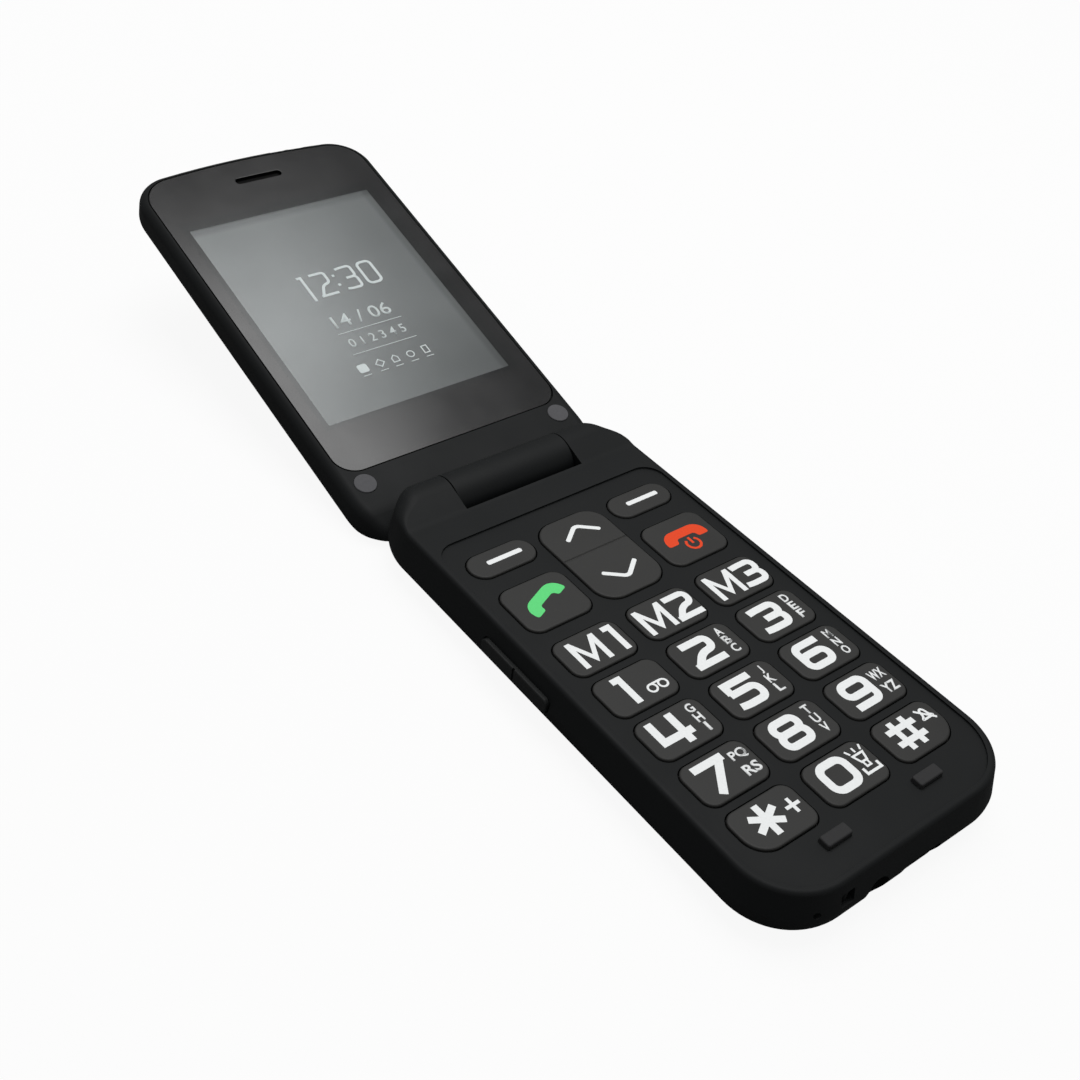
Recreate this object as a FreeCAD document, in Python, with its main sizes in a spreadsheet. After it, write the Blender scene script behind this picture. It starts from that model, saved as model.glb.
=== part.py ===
import FreeCAD, Part
import Sketcher
import math
import os

# Flip phone, lying open on its back with the keypad up.
# Z is up. The origin is the middle of the flat back of the keypad half.
# The hinge axis lies along X, the keypad half runs towards -Y and the lid rises towards +Y.
# Lid pieces are drawn in the lid's own frame: its origin is on the hinge axis, Y runs from
# the axis to the tip, and Z stands out of the display face.

doc = FreeCAD.newDocument("flip_phone")
sheet = doc.addObject("Spreadsheet::Sheet", "Sizes")
sheet_rows = []
exports = []


class Dim:
    """A length that knows its number and the sheet formula that gives it."""

    def __init__(self, value, text):
        self.value = float(value)
        self.text = text

    def joined(self, other, sign, result):
        return Dim(result, "(" + self.text + " " + sign + " " + dim(other).text + ")")

    def __add__(self, other):
        return self.joined(other, "+", self.value + dim(other).value)

    def __sub__(self, other):
        return self.joined(other, "-", self.value - dim(other).value)

    def __mul__(self, other):
        return self.joined(other, "*", self.value * dim(other).value)

    def __truediv__(self, other):
        return self.joined(other, "/", self.value / dim(other).value)

    def __radd__(self, other):
        return dim(other) + self

    def __rsub__(self, other):
        return dim(other) - self

    def __rmul__(self, other):
        return dim(other) * self

    def __neg__(self):
        return Dim(-self.value, "(0 - " + self.text + ")")


def dim(number):
    """The same length as a Dim, whether it was a number or a Dim."""
    if isinstance(number, Dim):
        return number
    return Dim(number, "(" + repr(float(number)) + ")")


def root(length):
    return Dim(math.sqrt(length.value), "sqrt(" + length.text + ")")


def sine(degrees):
    return Dim(math.sin(math.radians(degrees.value)), "sin(" + degrees.text + ")")


def cosine(degrees):
    return Dim(math.cos(math.radians(degrees.value)), "cos(" + degrees.text + ")")


def tangent(degrees):
    return Dim(math.tan(math.radians(degrees.value)), "tan(" + degrees.text + ")")


def size(name, value):
    """A driving dimension: one named cell of the sheet."""
    sheet_rows.append((name, value))
    return Dim(value, "Sizes." + name)


def write_sheet():
    for row, (name, value) in enumerate(sheet_rows, start=1):
        sheet.set("A%d" % row, name)
        sheet.set("B%d" % row, repr(value))
        sheet.setAlias("B%d" % row, name)
    doc.recompute()


# Driving dimensions, in millimetres and degrees

# Both halves
body_width = size("body_width", 55.5)
axis_reach = size("axis_reach", 103.2)
knuckle_radius = size("knuckle_radius", 5.0)
axis_height = size("axis_height", 8.0)
rest_rise = size("rest_rise", 14.5)
seat_gap = size("seat_gap", 0.1)
slide_gap = size("slide_gap", 0.05)
swing_gap = size("swing_gap", 0.35)
overshoot = size("overshoot", 5.0)

# Keypad half, outside
keypad_height = size("keypad_height", 10.5)
shoulder_step = size("shoulder_step", 0.4)
hump_tangent = size("hump_tangent", 110.0)
heel_tangent = size("heel_tangent", 70.0)
side_draft = size("side_draft", 12.0)
belly_height = size("belly_height", 5.6)
back_edge_radius = size("back_edge_radius", 5.4)
ridge_radius = size("ridge_radius", 0.9)
hump_radius = size("hump_radius", 3.0)
hump_blend = size("hump_blend", 4.0)
end_corner_radius = size("end_corner_radius", 12.5)
hinge_corner_radius = size("hinge_corner_radius", 12.5)
hinge_overrun = size("hinge_overrun", 6.0)
seam_height = size("seam_height", 1.7)
cover_reach = size("cover_reach", 8.8)
recess_reach = size("recess_reach", 12.9)
recess_margin = size("recess_margin", 2.4)
recess_corner = size("recess_corner", 4.0)

# Keypad half, inside
side_wall = size("side_wall", 2.2)
top_wall = size("top_wall", 1.5)
hinge_wall = size("hinge_wall", 2.0)
cavity_corner = size("cavity_corner", 3.0)
back_skin = size("back_skin", 1.0)
cover_lip = size("cover_lip", 3.5)
battery_side_room = size("battery_side_room", 7.75)
battery_length = size("battery_length", 45.5)
battery_thickness = size("battery_thickness", 3.7)
battery_end_room = size("battery_end_room", 16.6)
battery_edge = size("battery_edge", 0.8)
web_thickness = size("web_thickness", 0.8)
board_thickness = size("board_thickness", 0.8)
board_inset = size("board_inset", 2.6)
rocker_notch = size("rocker_notch", 5.6)
shield_width = size("shield_width", 20.0)
shield_length = size("shield_length", 6.0)
shield_height = size("shield_height", 1.6)
boss_radius = size("boss_radius", 1.8)
boss_end_inset = size("boss_end_inset", 9.95)
boss_end_room = size("boss_end_room", 7.5)
boss_hinge_inset = size("boss_hinge_inset", 7.75)
boss_hinge_reach = size("boss_hinge_reach", 12.9)
screw_radius = size("screw_radius", 0.7)
screw_head_radius = size("screw_head_radius", 1.35)
screw_head_height = size("screw_head_height", 0.9)
screw_bite = size("screw_bite", 2.0)
screw_seat_height = size("screw_seat_height", 3.4)
screw_slot = size("screw_slot", 0.4)

# Keys
key_side_margin = size("key_side_margin", 5.1)
key_web = size("key_web", 2.7)
row_pitch = size("row_pitch", 10.38)
memory_row_reach = size("memory_row_reach", 46.47)
key_length = size("key_length", 8.6)
key_corner = size("key_corner", 2.2)
key_outer_corner = size("key_outer_corner", 4.2)
soft_reach = size("soft_reach", 20.6)
soft_extra = size("soft_extra", 0.3)
soft_length = size("soft_length", 6.1)
call_reach = size("call_reach", 33.25)
call_extra = size("call_extra", 0.3)
call_length = size("call_length", 11.4)
call_corner = size("call_corner", 2.6)
nav_reach = size("nav_reach", 28.4)
nav_web = size("nav_web", 1.9)
nav_length = size("nav_length", 22.0)
nav_corner = size("nav_corner", 4.2)
nav_crease = size("nav_crease", 0.5)
nav_crease_shift = size("nav_crease_shift", 1.2)
nav_crease_depth = size("nav_crease_depth", 0.25)
nav_plunger_spread = size("nav_plunger_spread", 6.5)
nav_flange_drop = size("nav_flange_drop", 0.4)
key_rise = size("key_rise", 0.35)
key_gap = size("key_gap", 0.25)
key_edge = size("key_edge", 0.3)
key_travel = size("key_travel", 0.35)
key_flange = size("key_flange", 0.5)
key_flange_thickness = size("key_flange_thickness", 0.55)
plunger_radius = size("plunger_radius", 1.3)
plunger_clearance = size("plunger_clearance", 0.3)
dome_sheet_thickness = size("dome_sheet_thickness", 0.1)
dome_rise = size("dome_rise", 0.2)
dome_radius = size("dome_radius", 2.0)
mat_side_room = size("mat_side_room", 0.9)
mat_hinge_reach = size("mat_hinge_reach", 17.0)
mat_end_reach = size("mat_end_reach", 91.5)
mat_corner = size("mat_corner", 3.0)
mat_thickness = size("mat_thickness", 0.5)
mat_rim = size("mat_rim", 1.0)
stop_reach = size("stop_reach", 95.5)
stop_x = size("stop_x", 10.4)
stop_width = size("stop_width", 5.3)
stop_length = size("stop_length", 2.2)
stop_corner = size("stop_corner", 0.4)
stop_rise = size("stop_rise", 0.95)
stop_depth = size("stop_depth", 0.8)

# Volume rocker in the left side
rocker_reach = size("rocker_reach", 40.75)
rocker_height = size("rocker_height", 6.0)
rocker_length = size("rocker_length", 17.7)
rocker_width = size("rocker_width", 2.9)
rocker_proud = size("rocker_proud", 0.45)
rocker_flange = size("rocker_flange", 0.7)
rocker_flange_thickness = size("rocker_flange_thickness", 0.5)
rocker_split = size("rocker_split", 0.5)
rocker_split_depth = size("rocker_split_depth", 0.3)
rocker_corner = size("rocker_corner", 1.1)
rocker_nub_spread = size("rocker_nub_spread", 5.0)
rocker_nub_radius = size("rocker_nub_radius", 0.8)
rocker_nub_length = size("rocker_nub_length", 0.3)
rocker_play = size("rocker_play", 0.2)
switch_depth = size("switch_depth", 1.9)
switch_length = size("switch_length", 12.0)
switch_height = size("switch_height", 2.2)

# Openings in the bottom end
usb_inset = size("usb_inset", 30.75)
usb_height = size("usb_height", 3.85)
usb_shell_width = size("usb_shell_width", 8.94)
usb_shell_thickness = size("usb_shell_thickness", 3.16)
usb_wall = size("usb_wall", 0.3)
usb_length = size("usb_length", 7.0)
usb_room = size("usb_room", 0.9)
usb_tongue_width = size("usb_tongue_width", 6.69)
usb_tongue_thickness = size("usb_tongue_thickness", 0.7)
usb_tongue_length = size("usb_tongue_length", 4.45)
usb_base_length = size("usb_base_length", 1.2)
jack_inset = size("jack_inset", 20.45)
jack_height = size("jack_height", 4.45)
jack_bore_radius = size("jack_bore_radius", 1.8)
jack_collar_radius = size("jack_collar_radius", 2.3)
jack_body_width = size("jack_body_width", 6.0)
jack_body_thickness = size("jack_body_thickness", 4.1)
jack_body_length = size("jack_body_length", 13.6)
jack_room = size("jack_room", 1.1)
jack_bore_length = size("jack_bore_length", 14.2)
mic_inset = size("mic_inset", 7.95)
mic_height = size("mic_height", 7.3)
mic_radius = size("mic_radius", 1.4)
mic_thickness = size("mic_thickness", 1.1)
mic_room = size("mic_room", 4.3)
mic_hole_radius = size("mic_hole_radius", 0.6)
mic_hole_height = size("mic_hole_height", 6.5)
strap_inset = size("strap_inset", 13.35)
strap_height = size("strap_height", 7.4)
strap_width = size("strap_width", 2.8)
strap_slot_height = size("strap_slot_height", 2.6)
strap_corner = size("strap_corner", 0.4)
strap_post_radius = size("strap_post_radius", 0.55)
strap_post_room = size("strap_post_room", 1.3)
antenna_x = size("antenna_x", 7.5)
antenna_width = size("antenna_width", 15.0)
antenna_length = size("antenna_length", 3.6)
antenna_height = size("antenna_height", 1.8)
antenna_step = size("antenna_step", 1.0)

# Back of the keypad half
camera_reach = size("camera_reach", 17.0)
camera_body = size("camera_body", 8.0)
camera_body_top = size("camera_body_top", 5.2)
camera_barrel_radius = size("camera_barrel_radius", 2.9)
camera_barrel_top = size("camera_barrel_top", 2.0)
camera_eye_radius = size("camera_eye_radius", 1.5)
camera_eye_depth = size("camera_eye_depth", 0.5)
camera_window_radius = size("camera_window_radius", 3.5)
camera_window_sink = size("camera_window_sink", 0.15)
camera_window_thickness = size("camera_window_thickness", 0.45)
torch_x = size("torch_x", 8.0)
torch_radius = size("torch_radius", 1.4)
torch_base = size("torch_base", 3.2)
torch_base_height = size("torch_base_height", 1.0)
torch_sink = size("torch_sink", 0.2)
speaker_inset = size("speaker_inset", 13.25)
speaker_reach = size("speaker_reach", 21.0)
speaker_width = size("speaker_width", 15.0)
speaker_length = size("speaker_length", 11.0)
speaker_thickness = size("speaker_thickness", 3.0)
speaker_corner = size("speaker_corner", 2.0)
speaker_cone_radius = size("speaker_cone_radius", 4.4)
speaker_cone_depth = size("speaker_cone_depth", 0.4)
grille_slot_width = size("grille_slot_width", 1.0)
grille_slot_length = size("grille_slot_length", 9.0)
grille_pitch = size("grille_pitch", 2.2)
sim_x = size("sim_x", -9.0)
sim_reach = size("sim_reach", 33.5)
sim_width = size("sim_width", 15.0)
sim_length = size("sim_length", 11.0)
sim_thickness = size("sim_thickness", 1.3)
sim_wall = size("sim_wall", 0.6)
contact_pitch = size("contact_pitch", 3.6)
contact_width = size("contact_width", 1.2)
contact_depth = size("contact_depth", 1.8)
contact_height = size("contact_height", 2.6)
contact_x = size("contact_x", 5.5)
nail_notch_radius = size("nail_notch_radius", 5.0)
nail_notch_depth = size("nail_notch_depth", 2.0)
nail_notch_sink = size("nail_notch_sink", 0.6)
nail_notch_y = size("nail_notch_y", -36.0)

# Hinge
notch_reach = size("notch_reach", 6.6)
notch_lip_angle = size("notch_lip_angle", 60.0)
barrel_half = size("barrel_half", 13.2)
barrel_end_gap = size("barrel_end_gap", 0.25)
barrel_bore = size("barrel_bore", 3.6)
cam_radius = size("cam_radius", 3.2)
cam_flat = size("cam_flat", 2.3)
cam_depth = size("cam_depth", 7.2)
cam_nose_radius = size("cam_nose_radius", 2.7)
cam_nose_length = size("cam_nose_length", 1.9)
cam_bar_length = size("cam_bar_length", 0.6)
cam_bar_span = size("cam_bar_span", 4.4)
cam_bar_width = size("cam_bar_width", 1.6)
cartridge_length = size("cartridge_length", 15.0)
cartridge_wall = size("cartridge_wall", 0.75)
cartridge_floor = size("cartridge_floor", 1.2)
follower_length = size("follower_length", 3.2)
follower_groove = size("follower_groove", 0.8)
follower_spigot_radius = size("follower_spigot_radius", 1.6)
follower_spigot_length = size("follower_spigot_length", 1.5)
spring_wire = size("spring_wire", 0.35)
spring_pitch = size("spring_pitch", 1.5)
bush_depth = size("bush_depth", 7.5)
bush_reach = size("bush_reach", 4.6)
bush_inner = size("bush_inner", 2.5)
flex_radius = size("flex_radius", 3.1)
flex_thickness = size("flex_thickness", 0.2)
flex_width = size("flex_width", 4.6)
flex_start = size("flex_start", 3.0)
flex_overlap = size("flex_overlap", 1.5)

# Lid
face_drop = size("face_drop", 3.55)
lid_thickness = size("lid_thickness", 8.2)
lid_edge_radius = size("lid_edge_radius", 3.8)
lid_face_edge = size("lid_face_edge", 2.2)
lid_tip_bow = size("lid_tip_bow", 200.0)
lid_tip_corner = size("lid_tip_corner", 9.0)
lid_hinge_corner = size("lid_hinge_corner", 16.0)
lid_hinge_overrun = size("lid_hinge_overrun", 6.0)
lid_lip = size("lid_lip", 6.2)
lid_lip_angle = size("lid_lip_angle", 95.0)
neck_reach = size("neck_reach", 8.0)
lid_flat_start = size("lid_flat_start", 19.0)
chin_blend = size("chin_blend", 6.0)
lid_seam_depth = size("lid_seam_depth", 5.2)
lid_wall = size("lid_wall", 1.9)
lid_ceiling = size("lid_ceiling", 1.8)
lid_back_skin = size("lid_back_skin", 1.3)
lid_cavity_start = size("lid_cavity_start", 17.0)
lens_margin = size("lens_margin", 1.65)
lens_start = size("lens_start", 14.8)
lens_chin_corner = size("lens_chin_corner", 4.6)
lens_thickness = size("lens_thickness", 0.9)
lens_edge = size("lens_edge", 0.15)
lens_gap = size("lens_gap", 0.2)
panel_inset = size("panel_inset", 3.95)
panel_start = size("panel_start", 23.4)
panel_end = size("panel_end", 89.4)
panel_thickness = size("panel_thickness", 2.3)
panel_corner = size("panel_corner", 0.5)
earpiece_reach = size("earpiece_reach", 95.3)
earpiece_slot_length = size("earpiece_slot_length", 11.0)
earpiece_slot_width = size("earpiece_slot_width", 1.7)
earpiece_width = size("earpiece_width", 10.0)
earpiece_length = size("earpiece_length", 6.0)
earpiece_thickness = size("earpiece_thickness", 1.6)
earpiece_port = size("earpiece_port", 0.9)
mesh_thickness = size("mesh_thickness", 0.2)
lid_board_inset = size("lid_board_inset", 3.25)
lid_board_start = size("lid_board_start", 19.0)
lid_board_end = size("lid_board_end", 88.0)
lid_board_thickness = size("lid_board_thickness", 0.8)
lid_board_corner = size("lid_board_corner", 4.0)
motor_inset = size("motor_inset", 11.75)
motor_reach = size("motor_reach", 94.5)
motor_radius = size("motor_radius", 4.0)
motor_cap_radius = size("motor_cap_radius", 1.5)
motor_cap_height = size("motor_cap_height", 0.3)
magnet_inset = size("magnet_inset", 9.75)
magnet_reach = size("magnet_reach", 23.0)
magnet_length = size("magnet_length", 6.0)
magnet_width = size("magnet_width", 3.0)
magnet_thickness = size("magnet_thickness", 1.5)
chip_width = size("chip_width", 12.0)
chip_height = size("chip_height", 1.0)
pad_inset = size("pad_inset", 4.75)
pad_reach = size("pad_reach", 11.9)
pad_radius = size("pad_radius", 2.2)
pad_proud = size("pad_proud", 0.2)
pad_thickness = size("pad_thickness", 0.7)
lid_screw_seat = size("lid_screw_seat", 1.6)
lid_screw_length = size("lid_screw_length", 5.2)

# Places worked out from the sizes
half_width = body_width / 2
column_pitch = (body_width - 2 * key_side_margin + key_web) / 3
key_width = column_pitch - key_web
soft_width = key_width + soft_extra
call_width = key_width + call_extra
nav_width = 2 * column_pitch - soft_width - 2 * nav_web
battery_width = body_width - 2 * battery_side_room
boss_end_x = half_width - boss_end_inset
boss_hinge_x = half_width - boss_hinge_inset
mic_x = mic_inset - half_width
strap_x = strap_inset - half_width
jack_x = jack_inset - half_width
usb_x = usb_inset - half_width
speaker_x = speaker_inset - half_width
panel_width = body_width - 2 * panel_inset
lid_board_width = body_width - 2 * lid_board_inset
motor_x = half_width - motor_inset
magnet_x = magnet_inset - half_width
pad_x = half_width - pad_inset
axis_y = (axis_reach - knuckle_radius) / 2
end_y = axis_y - axis_reach
shoulder_height = keypad_height + shoulder_step
hinge_outline_y = axis_y + hinge_overrun
notch_y = axis_y - notch_reach
notch_half = barrel_half + barrel_end_gap
ceiling = keypad_height - top_wall
cavity_hinge_y = notch_y - hinge_wall
battery_bottom = back_skin + seat_gap
web_bottom = battery_bottom + battery_thickness + seat_gap
chassis_top = web_bottom + web_thickness
board_bottom = chassis_top + slide_gap
board_top = board_bottom + board_thickness
sheet_bottom = board_top + slide_gap
sheet_top = sheet_bottom + dome_sheet_thickness
key_top = keypad_height + key_rise
flange_top = ceiling - slide_gap
flange_bottom = flange_top - key_flange_thickness
plunger_tip = sheet_top + dome_rise + key_travel + slide_gap
mat_top = flange_bottom - key_travel - slide_gap
mat_bottom = mat_top - mat_thickness
inner_face_y = end_y + side_wall + seat_gap
face_z = -face_drop
lid_back_z = face_z - lid_thickness
lid_seam_z = face_z - lid_seam_depth
lens_floor_z = face_z - lens_thickness - slide_gap - slide_gap
panel_top = lens_floor_z - slide_gap
panel_bottom = panel_top - panel_thickness
lid_board_top = panel_bottom - 2 * seat_gap
lid_board_bottom = lid_board_top - lid_board_thickness
flex_low = lid_board_top + slide_gap
lid_ceiling_z = lens_floor_z - lid_ceiling
screw_tip_z = face_z - lid_screw_seat - lid_screw_length


# Directions a section can be drawn across
ALONG_X = "YZ_Plane"
ALONG_Y = "XZ_Plane"
ALONG_Z = "XY_Plane"


# Sketch helpers

def plane_of(body, role):
    for feature in body.Origin.OriginFeatures:
        if feature.Role == role:
            return feature


def bind(item, name, length):
    """Set a property of a feature to a sheet formula."""
    item.setExpression(name, dim(length).text)


def make_body(name, form=None):
    """A body with its own file, empty or starting from a form that several bodies share."""
    body = doc.addObject("PartDesign::Body", name)
    body.Label = name
    if form is not None:
        body.BaseFeature = form
    exports.append(body)
    return body


def make_sketch(body, role, offset=0.0):
    """An empty sketch on one of the body's own origin planes, moved along its normal."""
    sketch = body.newObject("Sketcher::SketchObject", body.Name + "_sketch")
    sketch.AttachmentSupport = [(plane_of(body, role), "")]
    sketch.MapMode = "FlatFace"
    bind(sketch, "AttachmentOffset.Base.z", offset)
    return sketch


def arc_between(start, end, radius, left):
    """Part arc from start to end whose centre lies left or right of the way along it."""
    chord = end.sub(start)
    half = chord.Length / 2
    rise = math.sqrt(max(radius * radius - half * half, 0.0))
    side = FreeCAD.Vector(-chord.y, chord.x, 0).normalize()
    if not left:
        side = side.negative()
    centre = start.add(end).multiply(0.5).add(side.multiply(rise))
    first, second = (start, end) if left else (end, start)
    angles = [math.atan2(p.y - centre.y, p.x - centre.x) for p in (first, second)]
    circle = Part.Circle(centre, FreeCAD.Vector(0, 0, 1), radius)
    return Part.ArcOfCircle(circle, angles[0], angles[1])


def draw_outline(sketch, corners):
    """Closed outline. Each corner is (x, y) or (x, y, radius, left): then the edge to the
    next corner is an arc with its centre left, or right, of the way along it."""
    points = [FreeCAD.Vector(dim(c[0]).value, dim(c[1]).value, 0) for c in corners]
    first = sketch.GeometryCount
    geometry = []
    start_end = []
    for index, corner in enumerate(corners):
        start = points[index]
        end = points[(index + 1) % len(points)]
        if len(corner) == 2:
            geometry.append(Part.LineSegment(start, end))
            start_end.append((1, 2))
        else:
            radius, left = dim(corner[2]).value, corner[3]
            geometry.append(arc_between(start, end, radius, left))
            start_end.append((1, 2) if left else (2, 1))
    sketch.addGeometry(geometry, False)
    links = []
    for index in range(len(corners)):
        following = (index + 1) % len(corners)
        links.append(Sketcher.Constraint("Coincident", first + index, start_end[index][1],
                                         first + following, start_end[following][0]))
    sketch.addConstraint(links)
    sizes = []
    for index, corner in enumerate(corners):
        place = (first + index, start_end[index][0])
        sizes.append((Sketcher.Constraint("DistanceX", -1, 1, place[0], place[1],
                                          points[index].x), corner[0]))
        sizes.append((Sketcher.Constraint("DistanceY", -1, 1, place[0], place[1],
                                          points[index].y), corner[1]))
        if len(corner) > 2:
            sizes.append((Sketcher.Constraint("Radius", first + index,
                                              dim(corner[2]).value), corner[2]))
    for constraint, length in sizes:
        number = sketch.addConstraint(constraint)
        bind(sketch, "Constraints[%d]" % number, length)


def draw_circle(sketch, x, y, radius):
    centre = FreeCAD.Vector(dim(x).value, dim(y).value, 0)
    circle = Part.Circle(centre, FreeCAD.Vector(0, 0, 1), dim(radius).value)
    number = sketch.addGeometry(circle, False)
    for kind, length in (("DistanceX", x), ("DistanceY", y)):
        constraint = Sketcher.Constraint(kind, -1, 1, number, 3, dim(length).value)
        bind(sketch, "Constraints[%d]" % sketch.addConstraint(constraint), length)
    constraint = Sketcher.Constraint("Radius", number, dim(radius).value)
    bind(sketch, "Constraints[%d]" % sketch.addConstraint(constraint), radius)


def circle(x, y, radius):
    return ("circle", x, y, radius)


def draw(sketch, shapes):
    for shape in shapes:
        if shape[0] == "circle":
            draw_circle(sketch, *shape[1:])
        else:
            draw_outline(sketch, shape)


def rounded_box(left, bottom, right, top, radii):
    """Corners of a box with rounded corners: bottom left, bottom right, top right, top left."""
    if not isinstance(radii, (list, tuple)):
        radii = [radii] * 4
    a, b, c, d = radii
    return [(left, bottom + a, a, True), (left + a, bottom), (right - b, bottom, b, True),
            (right, bottom + b), (right, top - c, c, True), (right - c, top),
            (left + d, top, d, True), (left, top - d)]


def centred_box(x, y, width, length, radii):
    return rounded_box(x - width / 2, y - length / 2, x + width / 2, y + length / 2, radii)


def plain_box(left, bottom, right, top):
    return [(left, bottom), (right, bottom), (right, top), (left, top)]


# Feature helpers

def pad(body, sketch, length, taper=None):
    feature = body.newObject("PartDesign::Pad", body.Name + "_pad")
    feature.Profile = sketch
    bind(feature, "Length", length)
    if taper is not None:
        bind(feature, "TaperAngle", taper)
    body.Tip = feature
    return feature


def pocket(body, sketch, length):
    """Cut away from the sketch plane along its normal."""
    feature = body.newObject("PartDesign::Pocket", body.Name + "_pocket")
    feature.Profile = sketch
    bind(feature, "Length", length)
    feature.Reversed = True
    body.Tip = feature
    return feature


def edges_where(feature, wanted):
    names = []
    for number, edge in enumerate(feature.Shape.Edges, start=1):
        if wanted(edge):
            names.append("Edge%d" % number)
    return names


def fillet(body, radius, wanted):
    doc.recompute()
    base = body.Tip
    feature = body.newObject("PartDesign::Fillet", body.Name + "_fillet")
    feature.Base = (base, edges_where(base, wanted))
    bind(feature, "Radius", radius)
    body.Tip = feature
    doc.recompute()
    return feature


def middle(edge):
    return edge.valueAt((edge.FirstParameter + edge.LastParameter) / 2)


def near(number, length):
    """Whether a measured coordinate is that of a named length."""
    return abs(number - dim(length).value) < 0.01


def section(body, role, start, end, shapes):
    """Sketch of the shapes in the plane where their stretch along the axis begins."""
    sketch = make_sketch(body, role, -dim(end) if role == ALONG_Y else start)
    draw(sketch, shapes)
    return sketch


def solid(body, role, start, end, *shapes):
    """Add material with the drawn section from start to end along an axis."""
    return pad(body, section(body, role, start, end, shapes), dim(end) - start)


def cut(body, role, start, end, *shapes):
    """Take away material with the drawn section from start to end along an axis."""
    return pocket(body, section(body, role, start, end, shapes), dim(end) - start)


# Write every size to the sheet before any feature uses it

write_sheet()


# Outlines in plan

def inner_outline(inset, hinge_end_y, hinge_corner):
    """Outline of the keypad half moved inwards and ended square at the hinge side."""
    end_corner = end_corner_radius - inset
    return rounded_box(-half_width + inset, end_y + inset, half_width - inset, hinge_end_y,
                       [end_corner, end_corner, hinge_corner, hinge_corner])


def lid_outline(inset, start, start_corner):
    """Outline of the lid moved inwards: bowed tip, square start."""
    half = half_width - inset
    corner = lid_tip_corner - inset
    bow = lid_tip_bow - inset
    bow_centre = axis_reach - lid_tip_bow
    corner_x = half_width - lid_tip_corner
    apart = lid_tip_bow - lid_tip_corner
    corner_rise = root(apart * apart - corner_x * corner_x)
    meet_x = corner_x * bow / apart
    meet_y = bow_centre + corner_rise * bow / apart
    corner_y = bow_centre + corner_rise
    return [(-half, start + start_corner, start_corner, True), (start_corner - half, start),
            (half - start_corner, start, start_corner, True), (half, start + start_corner),
            (half, corner_y, corner, True), (meet_x, meet_y, bow, True),
            (-meet_x, meet_y, corner, True), (-half, corner_y)]


def slot_outline(x, y, width, height):
    """Slot with round ends, wider than high."""
    radius = dim(height) / 2
    arm = dim(width) / 2 - radius
    return [(x - arm, y - radius), (x + arm, y - radius, radius, True),
            (x + arm + radius, y, radius, True), (x + arm, y + radius),
            (x - arm, y + radius, radius, True), (x - arm - radius, y, radius, True)]


def d_outline(radius, flat):
    """Shaft section across the hinge axis, with a flat on top."""
    half = root(radius * radius - flat * flat)
    return [(axis_y - half, axis_height + flat, radius, True),
            (axis_y, axis_height - radius, radius, True),
            (axis_y + half, axis_height + flat)]


def grown(radii, extra):
    return [radius + extra for radius in radii]


def box_of(item, extra):
    """Outline of a box-shaped item (x, y, width, length, corner) with room all round."""
    x, y, width, length, corner = item
    return centred_box(x, y, width + 2 * extra, length + 2 * extra, corner + extra)


# Places of the keys: name, x, distance from the hinge axis, width, length, corner radii

def key_places():
    columns = (-column_pitch, dim(0.0), dim(column_pitch))
    square = [key_corner] * 4
    soft = [soft_length / 2 - seat_gap] * 4
    call = [call_corner] * 4
    star = [key_outer_corner, key_corner, key_corner, key_corner]
    pound = [key_corner, key_outer_corner, key_corner, key_corner]
    places = [("soft_key_left", columns[0], soft_reach, soft_width, soft_length, soft),
              ("soft_key_right", columns[2], soft_reach, soft_width, soft_length, soft),
              ("call_key", columns[0], call_reach, call_width, call_length, call),
              ("end_key", columns[2], call_reach, call_width, call_length, call)]
    names = [["memory_key_1", "memory_key_2", "memory_key_3"], ["key_1", "key_2", "key_3"],
             ["key_4", "key_5", "key_6"], ["key_7", "key_8", "key_9"],
             ["key_star", "key_0", "key_hash"]]
    shapes = {"key_star": star, "key_hash": pound}
    for row, row_names in enumerate(names):
        reach = memory_row_reach + row * row_pitch
        for name, x in zip(row_names, columns):
            places.append((name, x, reach, key_width, key_length, shapes.get(name, square)))
    return places


# Places shared by several pieces of the keypad half

places = key_places()
nav_y = axis_y - nav_reach
nav_plungers = [(dim(0.0), nav_y - nav_plunger_spread), (dim(0.0), nav_y + nav_plunger_spread)]
plungers = [(place[1], axis_y - place[2]) for place in places]
boss_places = [(-boss_end_x, end_y + boss_end_room), (boss_end_x, end_y + boss_end_room),
               (-boss_hinge_x, axis_y - boss_hinge_reach), (boss_hinge_x, axis_y - boss_hinge_reach)]
cover_edge = axis_y - cover_reach
wall_y = end_y + side_wall + seat_gap
rocker_y = axis_y - rocker_reach
rocker_low = rocker_height - rocker_width / 2 - rocker_flange - seat_gap
flange_x = -half_width + side_wall + swing_gap
nub_x = flange_x + rocker_flange_thickness
switch_x = nub_x + rocker_nub_length + rocker_play
mat_half_width = -(switch_x + switch_depth) - mat_side_room
rocker_half_room = rocker_length / 2 + rocker_flange + swing_gap
rocker_notch_box = plain_box(-half_width, rocker_y - rocker_half_room,
                             -half_width + rocker_notch, rocker_y + rocker_half_room)
battery_y = end_y + battery_end_room + battery_length / 2
battery_box = (dim(0.0), battery_y, battery_width, battery_length, battery_edge)
contact_y = battery_y + battery_length / 2 + swing_gap + seat_gap
contact_block = (contact_x, contact_y + contact_depth / 2, 3 * contact_pitch, contact_depth,
                 seat_gap)
speaker_box = (speaker_x, axis_y - speaker_reach, speaker_width, speaker_length, speaker_corner)
speaker_top = battery_bottom + speaker_thickness
camera_y = axis_y - camera_reach
camera_box = (dim(0.0), camera_y, camera_body, camera_body, seat_gap)
torch_box = (torch_x, camera_y, torch_base, torch_base, seat_gap)
torch_top = battery_bottom + torch_base_height
sim_box = (sim_x, axis_y - sim_reach, sim_width, sim_length, seat_gap)
sim_top = battery_bottom + sim_thickness
window_seat = camera_window_sink + camera_window_thickness + slide_gap
reach_all = 4 * body_width


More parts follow.
